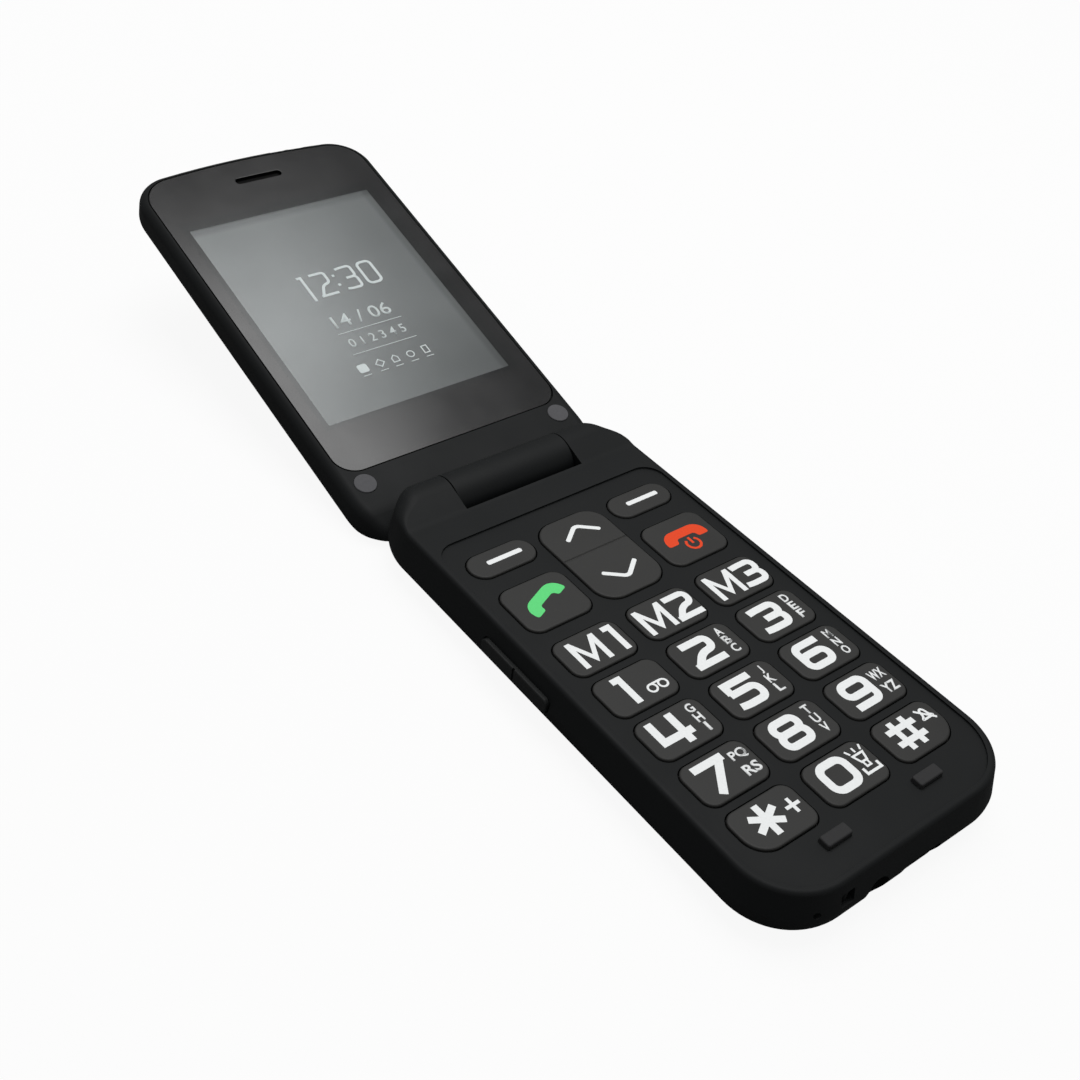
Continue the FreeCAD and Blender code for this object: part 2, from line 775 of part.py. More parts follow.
def everything():
    return plain_box(-reach_all, -reach_all, reach_all, reach_all)


# Outer form of the keypad half

def face_normal(face):
    first_u, last_u, first_v, last_v = face.ParameterRange
    return face.normalAt((first_u + last_u) / 2, (first_v + last_v) / 2)


def rim_edges(shape):
    """Numbers and edges where the top, hump and knuckle faces meet the side walls.
    The front wall leans past front_lean, and the flat back faces down past back_lean."""
    level = 0.001
    front_lean = -0.6
    back_lean = -0.99
    rim = []
    for number, edge in enumerate(shape.Edges, start=1):
        kinds = []
        for face in shape.ancestorsOfType(edge, Part.Face):
            normal = face_normal(face)
            crosswise = abs(normal.x) < level
            kinds.append(crosswise and normal.y > front_lean and normal.z > back_lean)
        if sorted(kinds) == [False, True]:
            rim.append((number, edge))
    return rim


def climbs(edge):
    return edge.valueAt(edge.LastParameter).y > edge.valueAt(edge.FirstParameter).y


def rim_radii(rim, crest_y):
    """Radii at both ends of each rim edge, in the order in which the loop of the rim is run:
    it starts with the first edge. They are small, and large where the rim tops the hump."""
    rim = sorted(rim, key=lambda item: not (climbs(item[1]) and middle(item[1]).x < 0))
    radii = []
    for number, edge in rim:
        ends = sorted([edge.valueAt(edge.FirstParameter).y, edge.valueAt(edge.LastParameter).y])
        if middle(edge).x > 0:
            ends.reverse()
        start, end = [hump_radius if near(y, crest_y) else ridge_radius for y in ends]
        radii.append((number, start.value, end.value))
    return radii


def make_keypad_form():
    """Rounded tub with drafted walls, flat shoulder plane, hump and knuckle end."""
    body = doc.addObject("PartDesign::Body", "keypad_block")
    top = axis_height + knuckle_radius + overshoot
    outline = inner_outline(0.0, hinge_outline_y, hinge_corner_radius)
    sketch = make_sketch(body, ALONG_Z, belly_height)
    draw_outline(sketch, outline)
    pad(body, sketch, top - belly_height, taper=-side_draft)
    solid(body, ALONG_Z, 0.0, belly_height, outline)
    fillet(body, back_edge_radius, lambda edge: near(middle(edge).z, 0.0))

    hump_y = axis_y + knuckle_radius * cosine(hump_tangent)
    hump_z = axis_height + knuckle_radius * sine(hump_tangent)
    foot_y = hump_y - (hump_z - shoulder_height) / tangent(hump_tangent - 90)
    heel_top_y = axis_y + knuckle_radius * cosine(heel_tangent)
    heel_top_z = axis_height - knuckle_radius * sine(heel_tangent)
    heel_y = heel_top_y - heel_top_z / tangent(90 - heel_tangent)
    front_y = end_y - overshoot
    profile = [(front_y, 0.0), (heel_y, 0.0), (heel_top_y, heel_top_z, knuckle_radius, True),
               (axis_y + knuckle_radius, axis_height, knuckle_radius, True),
               (hump_y, hump_z), (foot_y, shoulder_height), (front_y, shoulder_height)]
    cut(body, ALONG_X, -body_width, body_width, everything(), profile)
    fillet(body, hump_blend, lambda edge: near(middle(edge).x, 0.0)
           and near(middle(edge).y, foot_y))

    form = doc.addObject("Part::Fillet", "keypad_form")
    form.Base = body
    form.Edges = rim_radii(rim_edges(body.Shape), hump_y)
    doc.recompute()
    return form


# Keypad half: shell pieces

def make_keypad_housing():
    body = make_body("keypad_housing", keypad_form)

    # Underside: seam with the battery cover, then the hollow
    cut(body, ALONG_Z, -reach_all, seam_height,
        plain_box(-reach_all, -reach_all, reach_all, cover_edge + seat_gap))
    cut(body, ALONG_Z, seam_height, ceiling,
        inner_outline(side_wall, cavity_hinge_y, cavity_corner))

    # Notch for the hinge barrel with a lip curved under it, keypad recess in the shoulder plane
    lip_y = axis_y - notch_reach * cosine(notch_lip_angle)
    lip_z = axis_height - notch_reach * sine(notch_lip_angle)
    cut(body, ALONG_X, -notch_half, notch_half,
        [(notch_y, reach_all), (notch_y, axis_height, notch_reach, True), (lip_y, lip_z),
         (lip_y, -reach_all), (reach_all, -reach_all), (reach_all, reach_all)])
    recess_half = half_width - recess_margin
    end_corner = end_corner_radius - recess_margin
    cut(body, ALONG_Z, keypad_height, reach_all,
        rounded_box(-recess_half, end_y + recess_margin, recess_half, axis_y - recess_reach,
                    [end_corner, end_corner, recess_corner, recess_corner]))

    # Apertures: the twelve like keys as a grid, then the others
    apertures = {}
    for name, x, reach, width, length, radii in places:
        apertures[name] = centred_box(x, axis_y - reach, width + 2 * key_gap,
                                      length + 2 * key_gap, grown(radii, key_gap))
    first = cut(body, ALONG_Z, ceiling - top_wall, reach_all, apertures["memory_key_1"])
    grid = body.newObject("PartDesign::LinearPattern", "key_grid")
    grid.Originals = [first]
    grid.Direction = (first.Profile[0], ["H_Axis"])
    bind(grid, "Length", 2 * column_pitch)
    grid.Occurrences = 3
    grid.Direction2 = (first.Profile[0], ["V_Axis"])
    grid.Reversed2 = True
    bind(grid, "Length2", 3 * row_pitch)
    grid.Occurrences2 = 4
    body.Tip = grid
    for names in (("soft_key_left", "soft_key_right"), ("call_key", "end_key"),
                  ("key_star", "key_0", "key_hash")):
        cut(body, ALONG_Z, ceiling - top_wall, reach_all, *[apertures[name] for name in names])
    cut(body, ALONG_Z, ceiling - top_wall, reach_all,
        centred_box(0.0, nav_y, nav_width + 2 * key_gap, nav_length + 2 * key_gap,
                    nav_corner + key_gap))

    # Seats of the two rubber stops
    cut(body, ALONG_Z, keypad_height - stop_depth, reach_all,
        *[box_of(stop_box(side), slide_gap) for side in (-1, 1)])

    # Screw bosses under the top wall
    boss_bottom = chassis_top + slide_gap
    solid(body, ALONG_Z, boss_bottom, ceiling,
          *[circle(x, y, boss_radius) for x, y in boss_places])
    cut(body, ALONG_Z, boss_bottom, chassis_top + screw_bite + seat_gap,
        *[circle(x, y, screw_radius + slide_gap) for x, y in boss_places])

    # Openings in the bottom end, with a post for the strap in its slot
    outside_y = end_y - overshoot
    cut(body, ALONG_Y, outside_y, wall_y,
        slot_outline(usb_x, usb_height, usb_shell_width + 2 * seat_gap,
                     usb_shell_thickness + 2 * seat_gap),
        circle(jack_x, jack_height, jack_collar_radius + seat_gap),
        centred_box(strap_x, strap_height, strap_width, strap_slot_height, strap_corner))
    cut(body, ALONG_Y, outside_y, end_y + mic_room, circle(mic_x, mic_hole_height, mic_hole_radius))
    post_half = strap_slot_height / 2 + strap_corner
    solid(body, ALONG_Z, strap_height - post_half, strap_height + post_half,
          circle(strap_x, end_y + strap_post_room, strap_post_radius))

    # Window of the volume rocker
    cut(body, ALONG_X, -half_width - overshoot, -half_width + side_wall + slide_gap,
        centred_box(rocker_y, rocker_height, rocker_length + 2 * key_gap,
                    rocker_width + 2 * seat_gap, rocker_corner + seat_gap))

    # Knuckle bores: keyed on the left, round on the right
    cut(body, ALONG_X, -notch_half - cam_depth - slide_gap, -notch_half,
        d_outline(cam_radius + slide_gap, cam_flat + slide_gap))
    cut(body, ALONG_X, notch_half, notch_half + bush_depth + slide_gap,
        circle(axis_y, axis_height, barrel_bore))


def stop_box(side):
    return (side * stop_x, axis_y - stop_reach, stop_width, stop_length, stop_corner)


def make_battery_cover():
    body = make_body("battery_cover", keypad_form)
    cut(body, ALONG_Z, seam_height, reach_all, everything())
    cut(body, ALONG_Z, -reach_all, reach_all,
        plain_box(-reach_all, cover_edge, reach_all, reach_all))
    cut(body, ALONG_Z, back_skin, seam_height,
        inner_outline(cover_lip, cover_edge - side_wall, cavity_corner))

    # Camera, torch and loudspeaker openings
    cut(body, ALONG_Z, -overshoot, window_seat,
        circle(0.0, camera_y, camera_window_radius + seat_gap))
    cut(body, ALONG_Z, -overshoot, back_skin,
        circle(0.0, camera_y, camera_barrel_radius + seat_gap),
        circle(torch_x, camera_y, torch_radius + seat_gap))
    rows = (-1.5, -0.5, 0.5, 1.5)
    cut(body, ALONG_Z, -overshoot, back_skin,
        *[slot_outline(speaker_box[0], speaker_box[1] + row * grille_pitch,
                       grille_slot_length, grille_slot_width) for row in rows])

    # Nick for a fingernail at the seam on the right
    cut(body, ALONG_X, half_width - nail_notch_depth, half_width + overshoot,
        circle(nail_notch_y, seam_height - nail_notch_sink + nail_notch_radius,
               nail_notch_radius))


def make_rear_chassis():
    body = make_body("rear_chassis")
    solid(body, ALONG_Z, seam_height, chassis_top,
          inner_outline(side_wall + seat_gap, cavity_hinge_y - seat_gap, cavity_corner))

    # Battery bay, and beyond it the gap for the two sockets
    cut(body, ALONG_Z, seam_height, web_bottom, box_of(battery_box, swing_gap))
    cut(body, ALONG_Z, seam_height, chassis_top,
        plain_box(jack_x - jack_body_width / 2 - swing_gap, end_y,
                  usb_x + usb_shell_width / 2 + swing_gap, end_y + battery_end_room - swing_gap))

    # Bays for the parts behind the back cover
    for item, top in ((contact_block, web_bottom), (speaker_box, speaker_top + seat_gap),
                      (camera_box, camera_body_top + seat_gap), (torch_box, torch_top + seat_gap),
                      (sim_box, sim_top + seat_gap)):
        cut(body, ALONG_Z, seam_height, top, box_of(item, seat_gap))
    cut(body, ALONG_Z, rocker_low, chassis_top, rocker_notch_box)

    # Screw holes with sunk heads
    cut(body, ALONG_Z, seam_height, chassis_top,
        *[circle(x, y, screw_radius + seat_gap) for x, y in boss_places])
    cut(body, ALONG_Z, seam_height, screw_seat_height,
        *[circle(x, y, screw_head_radius + seat_gap) for x, y in boss_places])


def make_screws(body, spots, seat, head, tip):
    """Slotted screws at the same height: head between seat and head, shank down to the tip."""
    low, high = (seat, head) if head.value > seat.value else (head, seat)
    solid(body, ALONG_Z, low, high, *[circle(x, y, screw_head_radius) for x, y in spots])
    start, end = (tip, seat) if seat.value > tip.value else (seat, tip)
    solid(body, ALONG_Z, start, end, *[circle(x, y, screw_radius) for x, y in spots])
    slots = [centred_box(x, y, 3 * screw_head_radius, screw_slot, screw_slot / 4)
             for x, y in spots]
    if head.value > seat.value:
        cut(body, ALONG_Z, head - screw_slot, head, *slots)
    else:
        cut(body, ALONG_Z, head, head + screw_slot, *slots)


def make_chassis_screws():
    body = make_body("chassis_screws")
    make_screws(body, boss_places, screw_seat_height, screw_seat_height - screw_head_height,
                chassis_top + screw_bite)


def make_keypad_stops():
    body = make_body("keypad_stops")
    top = keypad_height + stop_rise
    solid(body, ALONG_Z, keypad_height - stop_depth, top,
          *[box_of(stop_box(side), 0.0) for side in (-1, 1)])
    fillet(body, key_edge, lambda edge: near(middle(edge).z, top))


# Keypad half: battery, boards and parts on them

def make_battery():
    body = make_body("battery")
    solid(body, ALONG_Z, battery_bottom, battery_bottom + battery_thickness,
          box_of(battery_box, 0.0))


def make_battery_contacts():
    body = make_body("battery_contacts")
    solid(body, ALONG_Z, web_bottom - contact_height, web_bottom, box_of(contact_block, 0.0))
    middle_z = web_bottom - contact_height / 2
    solid(body, ALONG_Y, contact_y - swing_gap, contact_y,
          *[centred_box(contact_x + column * contact_pitch, middle_z, contact_width,
                        contact_height / 2, seat_gap) for column in (-1, 0, 1)])


def make_main_board():
    body = make_body("main_board")
    solid(body, ALONG_Z, board_bottom, board_top,
          inner_outline(board_inset, cavity_hinge_y - swing_gap, cavity_corner))
    solid(body, ALONG_Z, board_top, board_top + shield_height,
          centred_box(0.0, cavity_hinge_y - swing_gap - seat_gap - shield_length / 2,
                      shield_width, shield_length, seat_gap))
    cut(body, ALONG_Z, board_bottom, board_top,
        *[circle(x, y, boss_radius + seat_gap) for x, y in boss_places])
    cut(body, ALONG_Z, board_bottom, board_top, rocker_notch_box)
    jack_half = jack_body_width / 2 + swing_gap
    cut(body, ALONG_Z, board_bottom, board_top,
        plain_box(jack_x - jack_half, end_y, jack_x + jack_half,
                  wall_y + jack_body_length + swing_gap))
    cut(body, ALONG_Z, board_bottom, board_top,
        plain_box(-half_width, end_y, mic_x + mic_radius + swing_gap,
                  end_y + mic_room + mic_thickness + swing_gap))


def mat_outline(inset):
    half = mat_half_width - inset
    return rounded_box(-half, axis_y - mat_end_reach + inset, half,
                       axis_y - mat_hinge_reach - inset, mat_corner - inset)


def make_dome_sheet():
    body = make_body("dome_sheet")
    solid(body, ALONG_Z, sheet_bottom, sheet_top, mat_outline(0.0))
    solid(body, ALONG_Z, sheet_top, sheet_top + dome_rise,
          *[circle(x, y, dome_radius) for x, y in plungers + nav_plungers])


def make_keypad_mat():
    body = make_body("keypad_mat")
    solid(body, ALONG_Z, sheet_top, mat_top, mat_outline(0.0))
    cut(body, ALONG_Z, sheet_top, mat_bottom, mat_outline(mat_rim))
    cut(body, ALONG_Z, mat_bottom, mat_top,
        *[circle(x, y, plunger_radius + plunger_clearance) for x, y in plungers])
    room = 2 * (key_flange + swing_gap)
    cut(body, ALONG_Z, mat_bottom, mat_top,
        centred_box(0.0, nav_y, nav_width + room, nav_length + room, nav_corner))


def make_usb_socket():
    body = make_body("usb_socket")
    mouth_y = end_y + usb_room
    back_y = mouth_y + usb_length
    hollow_y = back_y - usb_base_length
    solid(body, ALONG_Y, mouth_y, back_y,
          slot_outline(usb_x, usb_height, usb_shell_width, usb_shell_thickness))
    cut(body, ALONG_Y, mouth_y, hollow_y,
        slot_outline(usb_x, usb_height, usb_shell_width - 2 * usb_wall,
                     usb_shell_thickness - 2 * usb_wall))
    solid(body, ALONG_Y, hollow_y - usb_tongue_length, hollow_y,
          centred_box(usb_x, usb_height, usb_tongue_width, usb_tongue_thickness, seat_gap))
    solid(body, ALONG_Z, usb_height + usb_shell_thickness / 2 - usb_wall, board_bottom,
          centred_box(usb_x, back_y - usb_length / 4, usb_tongue_width, usb_length / 2, seat_gap))


def make_headphone_jack():
    body = make_body("headphone_jack")
    mouth_y = end_y + jack_room
    solid(body, ALONG_Y, mouth_y, wall_y, circle(jack_x, jack_height, jack_collar_radius))
    solid(body, ALONG_Y, wall_y, wall_y + jack_body_length,
          centred_box(jack_x, jack_height, jack_body_width, jack_body_thickness, seat_gap))
    cut(body, ALONG_Y, mouth_y, mouth_y + jack_bore_length,
        circle(jack_x, jack_height, jack_bore_radius))


def make_microphone():
    body = make_body("microphone")
    front_y = end_y + mic_room
    solid(body, ALONG_Y, front_y, front_y + mic_thickness, circle(mic_x, mic_height, mic_radius))


def make_antenna():
    body = make_body("antenna")
    far_y = wall_y + slide_gap + antenna_length
    solid(body, ALONG_Z, board_top, board_top + antenna_height - antenna_step,
          plain_box(antenna_x - antenna_width / 2, wall_y + slide_gap,
                    antenna_x + antenna_width / 2, far_y))
    solid(body, ALONG_Z, board_top + antenna_height - antenna_step, board_top + antenna_height,
          plain_box(antenna_x - antenna_width / 2, wall_y + slide_gap + antenna_step,
                    antenna_x + antenna_width / 2, far_y))


def make_loudspeaker():
    body = make_body("loudspeaker")
    solid(body, ALONG_Z, battery_bottom, speaker_top, box_of(speaker_box, 0.0))
    cut(body, ALONG_Z, battery_bottom, battery_bottom + speaker_cone_depth,
        circle(speaker_box[0], speaker_box[1], speaker_cone_radius))


def make_camera():
    body = make_body("camera_module")
    solid(body, ALONG_Z, camera_barrel_top, camera_body_top, box_of(camera_box, 0.0))
    front = window_seat + slide_gap
    solid(body, ALONG_Z, front, camera_barrel_top, circle(0.0, camera_y, camera_barrel_radius))
    cut(body, ALONG_Z, front, front + camera_eye_depth, circle(0.0, camera_y, camera_eye_radius))
    body = make_body("camera_window")
    solid(body, ALONG_Z, camera_window_sink, camera_window_sink + camera_window_thickness,
          circle(0.0, camera_y, camera_window_radius))


def make_torch_led():
    body = make_body("torch_led")
    solid(body, ALONG_Z, battery_bottom, torch_top, box_of(torch_box, 0.0))
    solid(body, ALONG_Z, torch_sink, battery_bottom, circle(torch_x, camera_y, torch_radius))


def make_sim_holder():
    body = make_body("sim_holder")
    solid(body, ALONG_Z, battery_bottom, sim_top, box_of(sim_box, 0.0))
    x, y, width, length, corner = sim_box
    cut(body, ALONG_Z, battery_bottom, sim_top - sim_wall / 2,
        plain_box(x - width / 2 + sim_wall, y - length, x + width / 2 - sim_wall,
                  y + length / 2 - sim_wall))


# Keypad half: fixed parts of the hinge

def make_hinge_cam():
    body = make_body("hinge_cam")
    nose_end = -notch_half + cam_nose_length
    solid(body, ALONG_X, -notch_half - cam_depth, -notch_half, d_outline(cam_radius, cam_flat))
    solid(body, ALONG_X, -notch_half, nose_end, circle(axis_y, axis_height, cam_nose_radius))
    solid(body, ALONG_X, nose_end, nose_end + cam_bar_length,
          slot_outline(axis_y, axis_height, cam_bar_span, cam_bar_width))


def make_hinge_bush():
    body = make_body("hinge_bush")
    start, end = notch_half - bush_reach, notch_half + bush_depth
    solid(body, ALONG_X, start, end, circle(axis_y, axis_height, barrel_bore - slide_gap))
    cut(body, ALONG_X, start, end, circle(axis_y, axis_height, bush_inner))


# Keys

def make_key(name, x, reach, width, length, radii):
    """Cap, flange under the top wall and plunger over the dome, drawn about the key's middle."""
    body = make_body(name)
    bind(body, "Placement.Base.x", x)
    bind(body, "Placement.Base.y", axis_y - reach)
    solid(body, ALONG_Z, flange_bottom, key_top, centred_box(0.0, 0.0, width, length, radii))
    solid(body, ALONG_Z, flange_bottom, flange_top,
          centred_box(0.0, 0.0, width + 2 * key_flange, length + 2 * key_flange,
                      grown(radii, key_flange)))
    solid(body, ALONG_Z, plunger_tip, flange_bottom, circle(0.0, 0.0, plunger_radius))
    fillet(body, key_edge, lambda edge: near(middle(edge).z, key_top))


def make_nav_rocker():
    body = make_body("nav_rocker")
    bind(body, "Placement.Base.y", nav_y)
    top = flange_top - nav_flange_drop
    bottom = top - key_flange_thickness
    solid(body, ALONG_Z, bottom, key_top, centred_box(0.0, 0.0, nav_width, nav_length, nav_corner))
    solid(body, ALONG_Z, bottom, top,
          centred_box(0.0, 0.0, nav_width + 2 * key_flange, nav_length + 2 * key_flange,
                      nav_corner + key_flange))
    solid(body, ALONG_Z, plunger_tip, bottom, circle(0.0, -nav_plunger_spread, plunger_radius),
          circle(0.0, nav_plunger_spread, plunger_radius))
    fillet(body, key_edge, lambda edge: near(middle(edge).z, key_top))
    cut(body, ALONG_X, -nav_width, nav_width,
        [(nav_crease_shift - nav_crease, key_top + nav_crease_depth),
         (nav_crease_shift, key_top - nav_crease_depth),
         (nav_crease_shift + nav_crease, key_top + nav_crease_depth)])


def make_volume_rocker():
    body = make_body("volume_rocker")
    outside = -half_width - rocker_proud
    solid(body, ALONG_X, outside, nub_x,
          centred_box(rocker_y, rocker_height, rocker_length, rocker_width, rocker_corner))
    solid(body, ALONG_X, flange_x, nub_x,
          centred_box(rocker_y, rocker_height, rocker_length + 2 * rocker_flange,
                      rocker_width + 2 * rocker_flange, rocker_corner + rocker_flange))
    solid(body, ALONG_X, nub_x, nub_x + rocker_nub_length,
          circle(rocker_y - rocker_nub_spread, rocker_height, rocker_nub_radius),
          circle(rocker_y + rocker_nub_spread, rocker_height, rocker_nub_radius))
    fillet(body, key_edge, lambda edge: near(middle(edge).x, outside))
    cut(body, ALONG_X, outside - overshoot, outside + rocker_split_depth,
        plain_box(rocker_y - rocker_split / 2, rocker_height - rocker_width,
                  rocker_y + rocker_split / 2, rocker_height + rocker_width))


def make_side_switch():
    body = make_body("side_switch")
    solid(body, ALONG_X, switch_x, switch_x + switch_depth,
          plain_box(rocker_y - switch_length / 2, rocker_low, rocker_y + switch_length / 2,
                    rocker_height + switch_height / 2))


# Lid shell

def make_lid_body(name, form=None):
    """A body whose own frame is the lid's: on the hinge axis, Y to the tip, Z out of the face."""
    body = make_body(name, form)
    body.Placement.Rotation = FreeCAD.Rotation(FreeCAD.Vector(1, 0, 0), rest_rise.value)
    bind(body, "Placement.Base.y", axis_y)
    bind(body, "Placement.Base.z", axis_height)
    bind(body, "Placement.Rotation.Angle", rest_rise)
    return body


def make_lid_form():
    """Lid slab with a bowed tip, rounded rims and a hollow lip that passes round the knuckles."""
    body = doc.addObject("PartDesign::Body", "lid_form")
    solid(body, ALONG_Z, lid_back_z, face_z,
          lid_outline(0.0, -lid_hinge_overrun, lid_hinge_corner))
    fillet(body, lid_edge_radius, lambda edge: near(middle(edge).z, lid_back_z))

    clear = knuckle_radius + swing_gap
    slope = hump_tangent - 90
    slope_y, slope_z = clear * sine(slope), -clear * cosine(slope)
    chin_y = slope_y + (face_z - slope_z) / tangent(slope)
    lip_y, lip_z = clear * cosine(lid_lip_angle), -clear * sine(lid_lip_angle)
    tip_y, tip_z = lid_lip * cosine(lid_lip_angle), -lid_lip * sine(lid_lip_angle)
    run, rise = lid_flat_start - tip_y, tip_z - lid_back_z
    back_bow = (run * run + rise * rise) / (2 * rise)
    far_y = axis_reach + overshoot
    profile = [(chin_y, face_z), (far_y, face_z), (far_y, lid_back_z),
               (lid_flat_start, lid_back_z, back_bow, False), (tip_y, tip_z),
               (lip_y, lip_z, clear, True), (slope_y, slope_z)]
    cut(body, ALONG_X, -body_width, body_width, everything(), profile)
    fillet(body, chin_blend, lambda edge: near(middle(edge).x, 0.0)
           and near(middle(edge).y, chin_y))
    fillet(body, lid_face_edge, lambda edge: near(middle(edge).z, face_z)
           and middle(edge).y > lid_hinge_corner.value)
    return body


def make_lid_frame():
    body = make_lid_body("lid_frame", lid_form)
    cut(body, ALONG_Z, -reach_all, lid_seam_z, everything())

    # Barrel between the knuckles and the neck that carries it
    root_y = root(knuckle_radius * knuckle_radius - face_drop * face_drop)
    tip_y, tip_z = lid_lip * cosine(lid_lip_angle), -lid_lip * sine(lid_lip_angle)
    barrel_y = knuckle_radius * cosine(lid_lip_angle)
    barrel_z = -knuckle_radius * sine(lid_lip_angle)
    solid(body, ALONG_X, -barrel_half, barrel_half,
          [(root_y, face_z), (neck_reach, face_z), (neck_reach, tip_z), (tip_y, tip_z),
           (barrel_y, barrel_z, knuckle_radius, False), (-knuckle_radius, 0.0, knuckle_radius, False),
           (0.0, knuckle_radius, knuckle_radius, False), (knuckle_radius, 0.0, knuckle_radius, False)])
    cut(body, ALONG_X, -body_width, body_width, circle(0.0, 0.0, barrel_bore))

    # Recess of the window, opening of the display, hollow behind it
    cut(body, ALONG_Z, lens_floor_z, reach_all, lid_outline(lens_margin, lens_start, lens_chin_corner))
    cut(body, ALONG_Z, lid_seam_z, lens_floor_z - lid_ceiling,
        lid_outline(lid_wall, lid_cavity_start, lens_chin_corner))
    cut(body, ALONG_Z, lid_seam_z, lens_floor_z, panel_outline(swing_gap),
        slot_outline(0.0, earpiece_reach, earpiece_width - 2 * earpiece_port, earpiece_port))

    # Screw holes under the two rubber pads
    pad_bottom = face_z + pad_proud - pad_thickness
    cut(body, ALONG_Z, pad_bottom, reach_all,
        *[circle(x, pad_reach, pad_radius + slide_gap) for x in (-pad_x, pad_x)])
    cut(body, ALONG_Z, face_z - lid_screw_seat, pad_bottom,
        *[circle(x, pad_reach, screw_head_radius + seat_gap) for x in (-pad_x, pad_x)])
    cut(body, ALONG_Z, lid_seam_z, face_z - lid_screw_seat,
        *[circle(x, pad_reach, screw_radius + seat_gap) for x in (-pad_x, pad_x)])

    # Passage of the flat cable from the barrel to the lid board
    room = 2 * flex_thickness
    cut(body, ALONG_X, flex_start - seat_gap, flex_start + flex_width + seat_gap,
        plain_box(flex_radius - flex_thickness - room, flex_low - room, flex_radius + room, 0.0))
    cut(body, ALONG_X, flex_start - seat_gap, flex_start + flex_width + seat_gap,
        plain_box(flex_radius - flex_thickness - room, flex_low - room,
                  lid_cavity_start + overshoot, flex_low + flex_thickness + room))


def panel_outline(extra):
    return rounded_box(-panel_width / 2 - extra, panel_start - extra, panel_width / 2 + extra,
                       panel_end + extra, panel_corner)


def make_lid_cover():
    body = make_lid_body("lid_cover", lid_form)
    cut(body, ALONG_Z, lid_seam_z, reach_all, everything())
    cut(body, ALONG_Z, lid_back_z + lid_back_skin, lid_seam_z,
        lid_outline(lid_wall, lid_cavity_start, lens_chin_corner))
    cut(body, ALONG_Z, screw_tip_z - seat_gap, lid_seam_z,
        *[circle(x, pad_reach, screw_radius + slide_gap) for x in (-pad_x, pad_x)])


# Lid contents

def make_display_window():
    body = make_lid_body("display_window")
    top = lens_floor_z + slide_gap + lens_thickness
    solid(body, ALONG_Z, lens_floor_z + slide_gap, top,
          lid_outline(lens_margin + lens_gap, lens_start + lens_gap, lens_chin_corner))
    cut(body, ALONG_Z, lens_floor_z, top,
        slot_outline(0.0, earpiece_reach, earpiece_slot_length, earpiece_slot_width))
    fillet(body, lens_edge, lambda edge: near(middle(edge).z, top))


def make_lid_contents():
    body = make_lid_body("display_panel")
    solid(body, ALONG_Z, panel_bottom, panel_top, panel_outline(0.0))

    body = make_lid_body("lid_board")
    half = lid_board_width / 2
    solid(body, ALONG_Z, lid_board_bottom, lid_board_top,
          rounded_box(-half, lid_board_start, half, lid_board_end, lid_board_corner))
    solid(body, ALONG_Z, lid_board_bottom - chip_height, lid_board_bottom,
          centred_box(0.0, (lid_board_start + lid_board_end) / 2, chip_width, chip_width,
                      panel_corner))

    body = make_lid_body("earpiece_mesh")
    solid(body, ALONG_Z, lens_floor_z, lens_floor_z + mesh_thickness,
          slot_outline(0.0, earpiece_reach, earpiece_slot_length - 2 * seat_gap,
                       earpiece_slot_width - 2 * seat_gap))

    body = make_lid_body("earpiece")
    solid(body, ALONG_Z, lid_ceiling_z - earpiece_thickness, lid_ceiling_z,
          centred_box(0.0, earpiece_reach, earpiece_width, earpiece_length, panel_corner))

    body = make_lid_body("vibration_motor")
    solid(body, ALONG_Z, lid_ceiling_z - earpiece_thickness, lid_ceiling_z,
          circle(motor_x, motor_reach, motor_radius))
    solid(body, ALONG_Z, lid_ceiling_z - earpiece_thickness - motor_cap_height,
          lid_ceiling_z - earpiece_thickness, circle(motor_x, motor_reach, motor_cap_radius))

    body = make_lid_body("lid_magnet")
    floor_z = lid_back_z + lid_back_skin
    solid(body, ALONG_Z, floor_z, floor_z + magnet_thickness,
          centred_box(magnet_x, magnet_reach, magnet_length, magnet_width, seat_gap))


def make_lid_fixings():
    body = make_lid_body("screw_pads")
    top = face_z + pad_proud
    spots = [(-pad_x, pad_reach), (pad_x, pad_reach)]
    solid(body, ALONG_Z, top - pad_thickness, top, *[circle(x, y, pad_radius) for x, y in spots])
    fillet(body, lens_edge, lambda edge: near(middle(edge).z, top))

    body = make_lid_body("lid_screws")
    seat = face_z - lid_screw_seat
    make_screws(body, spots, seat, seat + screw_head_height, screw_tip_z)


# Hinge parts that turn with the lid

